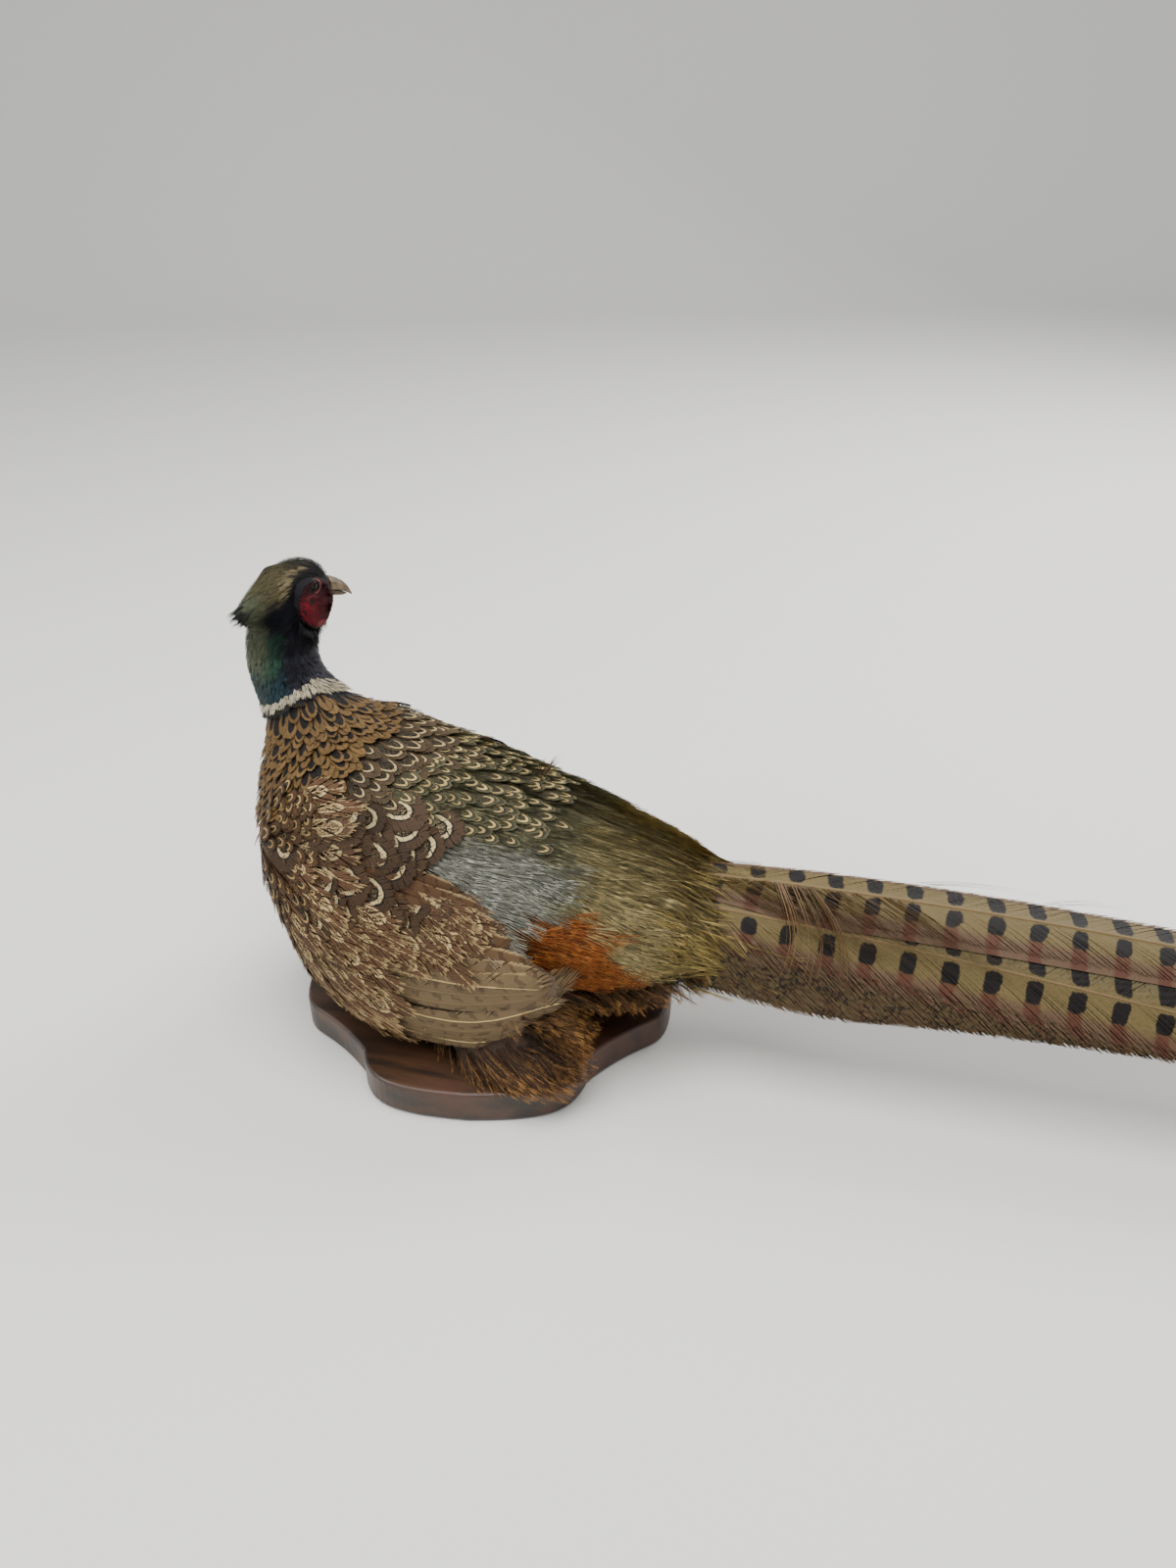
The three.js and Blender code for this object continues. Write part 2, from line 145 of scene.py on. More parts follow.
class Finish:
    """A material, and the few ways in which its nodes are made."""

    def __init__(self, name, **constants):
        self.material = bpy.data.materials.new(name)
        self.material.use_nodes = True
        self.tree = self.material.node_tree
        self.shader = self.tree.nodes["Principled BSDF"]
        for socket, value in constants.items():
            self.feed(socket.replace("_", " "), value)

    def node(self, kind, settings=None, *inputs, out=0, **named):
        """Adds a node: its settings first, then its sockets in order or by name."""
        made = self.tree.nodes.new(kind)
        for key, value in (settings or {}).items():
            setattr(made, key, value)
        for at, value in list(enumerate(inputs)) + list(named.items()):
            socket = made.inputs[at.replace("_", " ") if isinstance(at, str) else at]
            self.join(socket, value)
        return Signal(self, made.outputs[out])

    def join(self, socket, value):
        if isinstance(value, Signal):
            self.tree.links.new(value.socket, socket)
        elif value is not None:
            if not np.isscalar(value) and len(value) == 3 and socket.type == "RGBA":
                value = (*value, 1.0)
            socket.default_value = value if np.isscalar(value) else [float(v) for v in value]

    def feed(self, name, value):
        self.join(self.shader.inputs[name], value)

    def mix(self, share, first, second):
        """A colour between two others."""
        made = self.tree.nodes.new("ShaderNodeMix")
        made.data_type = "RGBA"
        self.join(made.inputs[0], share)
        self.join(made.inputs[6], first)
        self.join(made.inputs[7], second)
        return Signal(self, made.outputs[2])

    def scaled(self, colour, share):
        """A colour made lighter or darker."""
        return self.node("ShaderNodeVectorMath", {"operation": "SCALE"}, colour, Scale=share)

    def sine(self, angle):
        return self.node("ShaderNodeMath", {"operation": "SINE"}, angle)

    def attribute(self, name, out="Color"):
        return self.node("ShaderNodeAttribute", {"attribute_name": name}, out=out)

    def channels(self, vector):
        return [self.node("ShaderNodeSeparateXYZ", {}, vector, out=at) for at in range(3)]

    def vane_place(self):
        """How far a spot of a vane lies from its shaft, from 0 to 1, and how far along the vane."""
        across, along, _ = self.channels(self.node("ShaderNodeUVMap", {"uv_map": "Vane"}))
        return abs(across * 2.0 - 1.0), along

    def noise(self, where, scale, detail=2.0):
        return self.node("ShaderNodeTexNoise", {}, Vector=where, Scale=scale, Detail=detail)

    def bump(self, height, strength, distance):
        normal = self.node("ShaderNodeBump", {}, Strength=strength, Distance=distance, Height=height)
        self.feed("Normal", normal)


def object_place(finish):
    """Where a spot is on its object, in metres."""
    return finish.node("ShaderNodeTexCoord", {}, out=3)


print("shader sums ready")

# %% [markdown]
# ## The outer form
# Feathers need a smooth form to lie on. The solids of trunk, neck, head, wings and thighs are joined,
# remeshed to one closed surface and smoothed, so that no seam between them is left. A tree of its
# faces then answers where the nearest point of the form is, and which part of the bird it belongs to.

# %% One closed form from the solids of flesh
FLESH = ["trunk", "neck", "head", "wing_left", "wing_right", "thigh_left", "thigh_right",
         "wing_left_flight", "wing_right_flight"]
SAME_POINT = 1e-6  # metres


def merged(names):
    """A bmesh of several CAD nodes, their loose triangles merged."""
    shape = bmesh.new()
    for name in names:
        shape.from_mesh(nodes[name].data)
    bmesh.ops.remove_doubles(shape, verts=shape.verts, dist=SAME_POINT)
    return shape


def keep(shape, name):
    """Turns a bmesh into an object in the scene."""
    mesh = bpy.data.meshes.new(name)
    shape.to_mesh(mesh)
    shape.free()
    made = bpy.data.objects.new(name, mesh)
    bpy.context.scene.collection.objects.link(made)
    return made


def remeshed(made, voxel, rounds):
    """The object as one closed surface of small voxels (in millimetres), smoothed for some rounds."""
    finer = made.modifiers.new("one surface", "REMESH")
    finer.mode = "VOXEL"
    finer.voxel_size = voxel * MM
    softer = made.modifiers.new("rounding", "SMOOTH")
    softer.iterations = rounds
    softer.factor = 0.6
    graph = bpy.context.evaluated_depsgraph_get()
    mesh = bpy.data.meshes.new_from_object(made.evaluated_get(graph))
    made.modifiers.clear()
    made.data = mesh
    return made


def shade_smooth(mesh):
    mesh.polygons.foreach_set("use_smooth", np.ones(len(mesh.polygons), bool))


def paint_points(mesh, name, colours):
    """Gives each point of a mesh its colour, in an attribute of its own."""
    if colours.shape[1] == 3:
        colours = np.concatenate([colours, np.ones((len(colours), 1))], 1)
    paint = mesh.attributes.new(name, "FLOAT_COLOR", "POINT")
    paint.data.foreach_set("color", colours.astype(np.float32).ravel())


def read_points(mesh, field):
    """One vector of every vertex, as an array."""
    values = np.empty(len(mesh.vertices) * 3)
    mesh.vertices.foreach_get(field, values)
    return values.reshape(-1, 3)


form = remeshed(keep(merged(FLESH), "skin"), 2.6, 7)
form_mesh = form.data
form_points = read_points(form_mesh, "co")
form_faces = [tuple(face.vertices) for face in form_mesh.polygons]
form_tree = BVHTree.FromPolygons(form_points.tolist(), form_faces)
print(len(form_faces), "faces in the form")

# %% [markdown]
# Two more trees are made from the solids. The coverts of the tail slide on over its feathers, so those
# join the tree that feathers lie on. The other tree tells which part of the bird a point belongs to.
# There the flight feathers count as their wing.


# %% Trees of faces
def joined(names, start=0):
    """The points and faces of several nodes, and for each face the place of its node in the names."""
    points, faces, owners = [], [], []
    for owner, name in enumerate(names):
        mesh = nodes[name].data
        first = start + len(points)
        points += [list(vertex.co) for vertex in mesh.vertices]
        faces += [tuple(first + corner for corner in face.vertices) for face in mesh.polygons]
        owners += [owner] * len(mesh.polygons)
    return points, faces, owners


tail_names = [name for name in nodes if name.startswith("tail_feather")]
tail_points, tail_faces, _ = joined(tail_names, len(form_points))
lie_tree = BVHTree.FromPolygons(form_points.tolist() + tail_points, form_faces + tail_faces)

TRUNK, NECK, HEAD, WING_LEFT, WING_RIGHT, THIGH_LEFT, THIGH_RIGHT, FLIGHT_LEFT, FLIGHT_RIGHT = range(9)
part_points, part_faces, part_owner = joined(FLESH)
part_owner = [{FLIGHT_LEFT: WING_LEFT, FLIGHT_RIGHT: WING_RIGHT}.get(owner, owner) for owner in part_owner]
part_tree = BVHTree.FromPolygons(part_points, part_faces)


def parts_of(points):
    """The index in FLESH of the solid that is nearest to each point."""
    return np.array([part_owner[part_tree.find_nearest(Vector(point))[2]] for point in points])


print("parts", FLESH)

# %% [markdown]
# ## Places on the bird
# Colours and lie follow the bird's own landmarks. The head has a frame of its own, because it is
# turned and dipped. The folded wing is read as a flow: k runs from 0 on its top edge to 1 on its
# lower edge, and a line of one k runs back along it.

# %% The head's frame and the wing's flow
HEAD_AT = place(-106, 10.5, 258)
HEAD_TURN = math.radians(64)
HEAD_DIP = math.radians(10)
head_axes = np.array(Matrix.Rotation(HEAD_TURN, 3, "Z") @ Matrix.Rotation(HEAD_DIP, 3, "Y"))
BILL_WAY = head_axes[:, 0]


def in_head(points):
    """Points in the head's own frame in millimetres: forward, left and up."""
    return (np.asarray(points) - HEAD_AT) @ head_axes / MM


def from_head(forward, left, up):
    """A point of the head's own frame, in millimetres, in the row frame."""
    return HEAD_AT + head_axes @ (np.array([forward, left, up], float) * MM)


WING_X = np.array([-114, -105, -84, -50, -14, 24, 50, 70, 84], float)
WING_TOP = np.array([140, 155, 163, 159, 137, 120, 110, 93, 86], float)
WING_BOTTOM = np.array([128, 100, 64, 42, 35, 37, 52, 70, 80], float)
FLOW_STEP = 8.0
OUTSIDE, NEAR_WING = 160, 85  # millimetres from the bird's middle


def wing_edge(x, edge):
    """The height in millimetres of the wing's top or bottom edge at a drawn x."""
    return np.interp(x, WING_X, edge)


def wing_share(points):
    """How far down the folded wing each point lies: its k."""
    drawn = (np.asarray(points) - SEAT) / MM
    top = wing_edge(drawn[:, 0], WING_TOP)
    bottom = wing_edge(drawn[:, 0], WING_BOTTOM)
    return (top - drawn[:, 2]) / (top - bottom)


def wing_flow(points):
    """The way along the folded wing at each point, at the same share down it."""
    drawn_x = (np.asarray(points)[:, 0] - SEAT[0]) / MM
    k = np.clip(wing_share(points), 0, 1)
    rise = wing_height(drawn_x + FLOW_STEP, k) - wing_height(drawn_x - FLOW_STEP, k)
    return unit(np.stack([np.full(len(k), 2 * FLOW_STEP), 0 * k, rise], 1))


def wing_height(x, k):
    """The drawn height at a drawn x and a share k down the wing."""
    return wing_edge(x, WING_TOP) * (1 - k) + wing_edge(x, WING_BOTTOM) * k


def wing_spot(x, height, side):
    """The point of the form at a drawn x and height, seen from outside."""
    start = Vector(place(x, side * OUTSIDE, height))
    hit = form_tree.ray_cast(start, Vector((0, -side, 0)))
    if hit[0] is None:
        hit = form_tree.find_nearest(Vector(place(x, side * NEAR_WING, height)))
    return np.array(hit[0]), np.array(hit[1])


print("bill points to", np.round(BILL_WAY, 2))

# %% [markdown]
# ## The lie of the coat
# On a living bird every feather points away from the bill, because the air and the rain come from
# there. So the lie is one field: back over the head, down the neck, down the breast, and then back
# along the body and a little down its sides.

# %% The lie of the coat
BILL_ROOT = from_head(22, 0, 2)
NECK_FOOT = place(-86, 0, 196)


def lie(points, parts, spread=0.0, rng=None):
    """The way a feather points at each place, in metres of the row frame."""
    points = np.asarray(points)
    away_bill = unit(points - BILL_ROOT) + np.array([0, 0, -0.15])
    down_neck = np.array([0.08, 0.0, -1.0]) + 0.25 * unit(points - NECK_FOOT - np.array([0, 0, 0.06]))
    away_neck = unit(points - NECK_FOOT)
    drawn = (points - SEAT) / MM
    back = np.stack([np.ones(len(points)), 0 * drawn[:, 1], -0.10 - 0.15 * smooth(drawn[:, 0], 40, 120)], 1)
    rear = smooth(drawn[:, 0], -105, -30)[:, None]
    body = unit(away_neck * (1 - 0.75 * rear) + back * (0.25 + 0.9 * rear))
    low = smooth(drawn[:, 2], 70, 45)[:, None] * smooth(drawn[:, 0], -60, -20)[:, None]
    way = body + low * np.array([0.35, 0, -0.5])
    neck = smooth(drawn[:, 2], 186, 204)[:, None]
    way = way * (1 - neck) + down_neck * neck
    head = (parts == HEAD)[:, None] * smooth(drawn[:, 2], 222, 240)[:, None]
    way = way * (1 - head) + away_bill * head
    thigh = ((parts == THIGH_LEFT) | (parts == THIGH_RIGHT))[:, None]
    way = np.where(thigh, np.array([0.8, 0.0, -0.6]) + 0 * way, way)
    winged = ((parts == WING_LEFT) | (parts == WING_RIGHT))[:, None]
    way = np.where(winged, wing_flow(points), way)
    if rng is not None:
        way = unit(way) + spread * rng.normal(size=way.shape)
    return unit(way)


print("lie on the rump", np.round(lie(np.array([[0.08, -0.03, 0.13]]), np.array([TRUNK]))[0], 2))

# %% [markdown]
# ## Strewing roots
# Feathers stand in even rows, but never in perfect ones. Many places are tried at random over the
# form, and each is kept only if no kept place is nearer than the spacing, which gives the even but
# lively pattern of a real coat.

# %% Strewing roots over the form
face_corners = np.array([face[:3] for face in form_faces])
corner_a, corner_b, corner_c = (form_points[face_corners[:, at]] for at in range(3))
face_area = np.linalg.norm(np.cross(corner_b - corner_a, corner_c - corner_a), axis=1)
face_centre = (corner_a + corner_b + corner_c) / 3
face_part = parts_of(face_centre)


def strew(allowed, spacing, rng, tries=9):
    """Roots over the faces that are allowed, none nearer than the spacing to another."""
    weights = np.where(allowed, face_area, 0)
    if weights.sum() == 0:
        return np.zeros((0, 3)), np.zeros(0, int)
    count = int(tries * weights.sum() / spacing ** 2) + 1
    faces = rng.choice(len(weights), count, p=weights / weights.sum())
    mix = rng.random((count, 2))
    turned = mix.sum(1) > 1
    mix[turned] = 1 - mix[turned]
    spots = corner_a[faces] + (corner_b - corner_a)[faces] * mix[:, :1]
    spots = spots + (corner_c - corner_a)[faces] * mix[:, 1:]
    taken = {}
    kept = []
    cells = np.floor(spots / spacing).astype(int)
    for at, (spot, cell) in enumerate(zip(spots, map(tuple, cells))):
        near = [taken[key] for dx in (-1, 0, 1) for dy in (-1, 0, 1) for dz in (-1, 0, 1)
                if (key := (cell[0] + dx, cell[1] + dy, cell[2] + dz)) in taken]
        if all(np.sum((spots[other] - spot) ** 2) > spacing ** 2 for group in near for other in group):
            taken.setdefault(cell, []).append(at)
            kept.append(at)
    return spots[kept], face_part[faces[kept]]


print(len(face_area), "faces to strew on")

# %% [markdown]
# ## One feather's vane
# A vane is a shaft with barbs on both sides. Each barb is a thin ribbon that runs from the shaft
# forward and out to the feather's outline, and is as broad there as its neighbour allows. So the vane
# is closed in its middle, and its rim is soft and slightly torn, as on the bird. A template is made
# once with bmesh grids, and then laid hundreds of times by arrays.


# %% Vane templates
RIM_BREADTH = 0.22  # half a feather's breadth as a share of its length, for spacing the barbs round its rim


def outline(v, widest=0.6, blunt=2.0):
    """Half the breadth of a vane, from 0 to 1, at a share v of its length."""
    opening = min(1.0, 0.42 + 0.58 * v / widest)
    past = max(0.0, (v - widest) / (1 - widest))
    return opening * max(0.0, 1 - past ** blunt) ** 0.5


def ribbon(shape, path, widths, columns):
    """A grid whose columns follow the path (u, v, w) and which is as broad as widths along v."""
    made = bmesh.ops.create_grid(shape, x_segments=columns, y_segments=1, size=0.5)["verts"]
    for vert in made:
        at = (vert.co.x + 0.5) * columns
        low = min(int(round(at)), columns)
        centre, broad = Vector(path[low]), Vector(widths[low])
        vert.co = centre + broad * (1 if vert.co.y > 0 else -1)


def vane(barbs, widest=0.6, blunt=2.0, slant=0.2, ragged=0.05, camber=0.12, bare=0.04, seed=1, shaft=0.035,
         tip_share=0.36):
    """A feather in its own numbers: u across from -1 to 1, v along from 0 to 1, w up from the form."""
    rng = np.random.default_rng(seed)
    shape = bmesh.new()
    rim_v = np.linspace(bare, 1, 120)
    rim_u = np.array([outline(v, widest, blunt) for v in rim_v]) * RIM_BREADTH
    round_rim = np.concatenate([[0], np.cumsum(np.hypot(np.diff(rim_v), np.diff(rim_u)))])
    for side in (-1, 1):
        for at in range(barbs):
            where = round_rim[-1] * (at + 0.6) / barbs
            tip_v, tip_u = (np.interp(where, round_rim, rim) for rim in (rim_v, rim_u))
            ahead_v = np.interp(where + 0.01, round_rim, rim_v) - tip_v
            ahead_u = np.interp(where + 0.01, round_rim, rim_u) - tip_u
            along = np.array([side * ahead_u / RIM_BREADTH, ahead_v, 0])
            along = along / max(math.hypot(ahead_u, ahead_v), 1e-6)
            reach = tip_u / RIM_BREADTH * (1 + ragged * rng.normal())
            root = max(0.0, tip_v - slant * (0.12 + reach) - 0.01)
            tip_v = tip_v + 0.4 * ragged * rng.normal()
            half = 0.5 * round_rim[-1] / barbs
            path = [(0, root, 0),
                    (side * 0.6 * reach, root + 0.52 * (tip_v - root), -camber * (0.6 * reach) ** 2),
                    (side * reach, tip_v, -camber * reach ** 2)]
            middle = 0.6 * along + 0.4 * np.array([0, 1, 0])
            at_tip = along * half * tip_share + (0, 0, 0.004)
            widths = [(0, half, 0), tuple(middle * half * 1.25), tuple(at_tip)]
            if side < 0:
                path, widths = path[::-1], widths[::-1]
            ribbon(shape, path, widths, 2)
    rise = 0.6 * shaft
    stem = bmesh.ops.create_grid(shape, x_segments=2, y_segments=5, size=0.5)["verts"]
    for vert in stem:
        v = vert.co.y + 0.5
        vert.co = (2 * vert.co.x * shaft * (1.15 - v), 0.97 * v, 0.01 + (rise if abs(vert.co.x) < 0.1 else 0))
    return read_template(shape)


def quill_vane(barbs, advance=0.12, ragged=0.02, camber=0.14, seed=1, shaft=0.05, splits=2, widest=0.8):
    """A stiff closed vane, as on a flight feather: many barbs of one slant, with a split here and there."""
    rng = np.random.default_rng(seed)
    shape = bmesh.new()
    for side in (-1, 1):
        tears = 0.25 + 0.7 * rng.random(splits)
        for at in range(barbs):
            tip = 0.03 + 0.97 * (at + 0.7) / barbs
            reach = max(outline(tip, widest, 2.6), 0.08)
            root = max(0.0, tip - advance * (0.15 + 0.85 * reach) * (1.0 if side > 0 else 0.8))
            gaps = tip - tears
            tear = float(np.sum(0.012 * np.sign(gaps) * np.exp(-np.abs(gaps) / 0.03)))
            tip_v = tip + tear + 0.003 * rng.normal()
            reach *= (1 + ragged * rng.normal()) * (0.72 if side > 0 else 1.0)
            half = 0.5 / barbs
            path = [(side * reach * share, root + (tip_v - root) * share ** 0.9,
                     -camber * (reach * share) ** 2) for share in (0, 0.5, 1)]
            widths = [(0, half * 1.15, 0), (0, half * 1.35, 0), (0, half * 0.95, 0)]
            if side < 0:
                path, widths = path[::-1], widths[::-1]
            ribbon(shape, path, widths, 2)
    stem = bmesh.ops.create_grid(shape, x_segments=2, y_segments=10, size=0.5)["verts"]
    for vert in stem:
        v = vert.co.y + 0.5
        rise = 0.05 * (1.1 - v) if abs(vert.co.x) < 0.1 else 0
        vert.co = (2 * vert.co.x * shaft * (1.2 - v), 0.985 * v, 0.015 + rise)
    return read_template(shape)


def read_template(shape):
    """The points and quads of a bmesh as arrays."""
    shape.verts.index_update()
    points = np.array([vert.co[:] for vert in shape.verts])
    quads = np.array([[vert.index for vert in face.verts] for face in shape.faces])
    shape.free()
    return points, quads


def plume(barbs, seed=1, spread=1.0, strands=3, fine=0.055, wild=0.1):
    """A loose feather whose barbs hang apart like hair: long thin ribbons that end all along it."""
    rng = np.random.default_rng(seed)
    shape = bmesh.new()
    for at in range(barbs):
        side = -1 if at % 2 else 1
        root = 0.6 * at / barbs * (0.5 + 0.5 * rng.random())
        tip_v = min(1.0, root + 0.35 + 0.35 * rng.random() + 0.2 * at / barbs)
        reach = side * spread * (0.15 + 0.85 * rng.random()) * (1.1 - 0.5 * at / barbs)
        lift = wild * rng.normal()
        path, widths = [], []
        for step in range(strands + 1):
            share = step / strands
            path.append((reach * share ** 0.8, root + (tip_v - root) * share, lift * share ** 2))
            widths.append((fine * (1.05 - 0.85 * share), 0.0, 0.01))
        ribbon(shape, path, widths, strands)
    return read_template(shape)


fluff_test = plume(12)
vane_test = vane(10)
print("a vane has", len(vane_test[1]), "quads and a plume", len(fluff_test[1]))

# %% [markdown]
# ## Laying feathers
# Each feather is walked over the form from its root: a few stations, each the nearest point of the
# form to the step before, so that a long feather bends with the body. It starts deep in the coat and
# rises to its tip, and so the feathers in front lie on those behind. All templates are then bent over
# their stations at once with arrays.


# %% Walking over the form
def walk(roots, ways, lengths, stations=5, cling=0.85):
    """Stations and normals of each feather, walked over the form from its root. Loose ones may leave it."""
    count = len(roots)
    spots = np.zeros((count, stations, 3))
    normals = np.zeros((count, stations, 3))
    for at in range(count):
        spot, way = Vector(roots[at]), Vector(ways[at])
        normal = lie_tree.find_nearest(spot)[1]
        step = lengths[at] / (stations - 1)
        for stop in range(stations):
            spots[at, stop] = spot
            normals[at, stop] = normal
            outward = way.dot(normal)
            if cling > 0.5 or outward < 0:
                way = (way - normal * outward).normalized()
            ahead = spot + way * step
            hit, turned, _, _ = lie_tree.find_nearest(ahead)
            spot = ahead.lerp(hit, cling)
            normal = normal.lerp(turned, 0.7).normalized()
    return spots, normals


# %% [markdown]
# A tract gathers the feathers of one piece. Each point of a feather carries four tones with a mark
# each, and the places of its bands. A feather also has a small patch of its own in the map OFBake, at
# the place of its root on an unwrap of the bird. No tip hangs lower than the top of the board.

# %% Gathering feathers to one mesh
COLOURS = ("core", "band", "ground", "rim")
PLAIN_CUT = (0.3, 0.5, 0.9, 0.0)
PLAIN_MARKS = (0, 0, 0.3, 1)
PATCH = 0.003
RISE_POWER = 0.75
LOWEST_TIP = 20.6 * MM


class Tract:
    """Feathers of one tract, gathered from batches and joined to one mesh."""

    def __init__(self, name):
        self.name = name
        self.batches = []
        self.count = 0
        self.feathers = 0

    def gather(self, points, quads, vane_uv, bake_uv, paints, feathers=1):
        """Takes in finished feathers. Their corners are counted on from those before them."""
        self.batches.append((points, quads + self.count, vane_uv, bake_uv, paints))
        self.count += len(points)
        self.feathers += feathers

    def add(self, template, spots, normals, width, depth, rise, bake, colours, cut=PLAIN_CUT, patch=PATCH,
            marks=PLAIN_MARKS):
        """Bends one template over the stations of many feathers."""
        shape, quads = template
        feathers, stations = spots.shape[:2]
        if feathers == 0:
            return
        width, depth, rise = (np.broadcast_to(size, feathers)[:, None] for size in (width, depth, rise))
        u, v, w = shape.T
        at = v * (stations - 1)
        low = np.clip(at.astype(int), 0, stations - 2)
        part = at - low
        weight = np.zeros((len(v), stations))
        weight[np.arange(len(v)), low] = 1 - part
        weight[np.arange(len(v)), low + 1] = part
        sides = unit(np.cross(np.gradient(spots, axis=1), normals))
        centre, side, up = (np.einsum("ts,fsc->ftc", weight, values) for values in (spots, sides, normals))
        height = -depth + (depth + rise) * np.clip(v, 0, 1)[None] ** RISE_POWER + w[None] * width
        points = centre + side * (u[None] * width)[..., None] + up * height[..., None]
        corners = quads[None] + (np.arange(feathers) * len(shape))[:, None, None]
        vane_uv = np.stack([np.tile(u * 0.5 + 0.5, feathers), np.tile(v, feathers)], 1)
        own = np.stack([u * 0.5, v - 0.5], 1)
        bake_uv = (bake[:, None] + own[None] * patch).reshape(-1, 2)
        paints = {"cut": np.asarray(cut).reshape(-1, 4) * np.ones((feathers, 1))}
        for key, mark in zip(COLOURS, marks):
            painted = np.asarray(colours[key]).reshape(-1, 3) * np.ones((feathers, 1))
            paints[key] = np.concatenate([painted, np.full((feathers, 1), mark)], 1)
        paints = {key: np.repeat(values, len(shape), 0) for key, values in paints.items()}
        self.gather(points.reshape(-1, 3), corners.reshape(-1, 4), vane_uv, bake_uv, paints, feathers)

    def add_variants(self, kind, pick, spots, normals, width, depth, rise, bake, colours, cut, **same):
        """Bends the variants of one kind of template, each over the feathers that picked it."""
        for at, template in enumerate(TEMPLATES[kind]):
            mine = pick == at
            own_colours = {key: colours[key][mine] for key in COLOURS}
            self.add(template, spots[mine], normals[mine], width[mine], depth, rise[mine], bake[mine],
                     own_colours, cut[mine], **same)

    def finish(self, material, slot):
        """Joins the batches, gives the mesh its maps and attributes, and hangs it on the bird."""
        points, quads, vane_uv, bake_uv = (
            np.concatenate([batch[at] for batch in self.batches]) for at in range(4))
        points[:, 2] = np.maximum(points[:, 2], LOWEST_TIP)
        mesh = bpy.data.meshes.new(self.name)
        mesh.vertices.add(len(points))
        mesh.vertices.foreach_set("co", points.astype(np.float32).ravel())
        mesh.loops.add(quads.size)
        mesh.loops.foreach_set("vertex_index", quads.astype(np.int32).ravel())
        mesh.polygons.add(len(quads))
        mesh.polygons.foreach_set("loop_start", np.arange(0, quads.size, 4, dtype=np.int32))
        mesh.update(calc_edges=True)
        shade_smooth(mesh)
        for map_name, chart in (("OFBake", bake_uv), ("Vane", vane_uv)):
            layer = mesh.uv_layers.new(name=map_name)
            layer.data.foreach_set("uv", chart[quads.ravel()].astype(np.float32).ravel())
        for key in COLOURS + ("cut",):
            paint_points(mesh, key, np.concatenate([batch[4][key] for batch in self.batches]))
        made = bpy.data.objects.new(self.name, mesh)
        bpy.context.scene.collection.objects.link(made)
        mesh.materials.append(material)
        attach(made, "root")
        print(self.name, self.feathers, "feathers,", 2 * len(quads), "triangles")
        return made


print("ready to lay feathers")

# %% [markdown]
# ## The feather finish
# A pheasant's feather is painted in zones that run parallel to its own outline: a core, a pale band
# in the shape of a U, the ground, and a dark rim. One material paints them all. It reads the four
# tones and the places of the band from the feather, so that each tract keeps its own dress, and it
# draws the fine lines of the barbs in colour and in relief.


# %% The feather finish
WIDEST = 0.6  # where along its length a body feather is widest


def plumage_finish(name, roughness=0.62, gloss=0.0, shine=0.16):
    """The material of small feathers. Only its roughness and its gloss differ from place to place."""
    finish = Finish(name, Roughness=roughness, Coat_Weight=gloss, Specular_IOR_Level=shine)
    u, along = finish.vane_place()
    cut = finish.attribute("cut")
    first, second, third = finish.channels(cut)
    shaft = finish.attribute("cut", out="Alpha")
    where = object_place(finish)
    patchy = finish.noise(where, 260.0, 3.0) - 0.5
    past = ((along - WIDEST) / (1 - WIDEST)).math("MAXIMUM", 0.0)
    edge = (u * u + past * past) ** 0.5 + patchy * 0.16
    core, band, ground, rim = (finish.attribute(key) for key in COLOURS)
    line, specks, tip_from = (finish.attribute(key, out="Alpha") for key in COLOURS[:3])
    in_band = (edge - first).step(-0.025, 0.025)
    in_ground = (edge - second).step(-0.025, 0.025)
    in_rim = (edge - third).step(-0.05, 0.05)
    tip_only = (along - tip_from + patchy * 0.1).step(-0.04, 0.08)
    speckle = finish.noise(where, 1300.0, 2.0).step(0.5, 0.58) * specks
    blotch = finish.noise(where, 420.0, 3.0).step(0.5, 0.6) * specks * specks
    paint = finish.mix(speckle * (1 - in_band), core, band)
    paint = finish.mix(blotch, paint, rim)
    paint = finish.mix(in_band * tip_only, paint, band)
    paint = finish.mix(in_ground * tip_only + (1 - tip_only) * in_band, paint, ground)
    from_line = abs(edge - first + 0.035).math("MINIMUM", abs(edge - second - 0.035))
    paint = finish.mix((0.05 - from_line).step(0.0, 0.03) * line * tip_only, paint, BLACK)
    paint = finish.mix(in_rim, paint, rim)
    paint = finish.mix((shaft - u).step(-0.01, 0.02) * along.step(0.2, 0.4) * 0.75, paint, band)
    barb_line = finish.sine((along * 150.0) - (u * 34.0) + patchy * 6.0)
    shade = 1 - (0.5 + 0.5 * barb_line) * 0.16 + patchy * 0.35
    finish.feed("Base Color", finish.scaled(paint, shade))
    finish.bump(barb_line, 0.25, 0.0003)
    return finish.material


feather_finish = plumage_finish("plumage")
print("feather finish made")

# %% [markdown]
# ## Dresses
# A dress is what the feathers of one tract share: their length and width, how far apart they stand,
# how deep their coat is, the tones and the places of the bands. A little chance in length, width,
# tone and lift keeps two feathers from ever being the same.

# %% Dresses of the body
GOLD = tone(97, 74, 42)


def dress(length, width, spacing, depth, core, band, ground, rim, cut, kind="round", rise=0.6, spread=0.06,
          patch=PATCH, marks=PLAIN_MARKS, cling=0.85, wander=0.05):
    """The numbers of one dress, with its sizes turned from millimetres into metres."""
    return dict(length=length * MM, width=width / 2 * MM, spacing=spacing * MM, depth=depth * MM,
                rise=rise * MM, core=core, band=band, ground=ground, rim=rim, cut=cut, kind=kind,
                spread=spread, patch=patch, marks=marks, cling=cling, wander=wander)


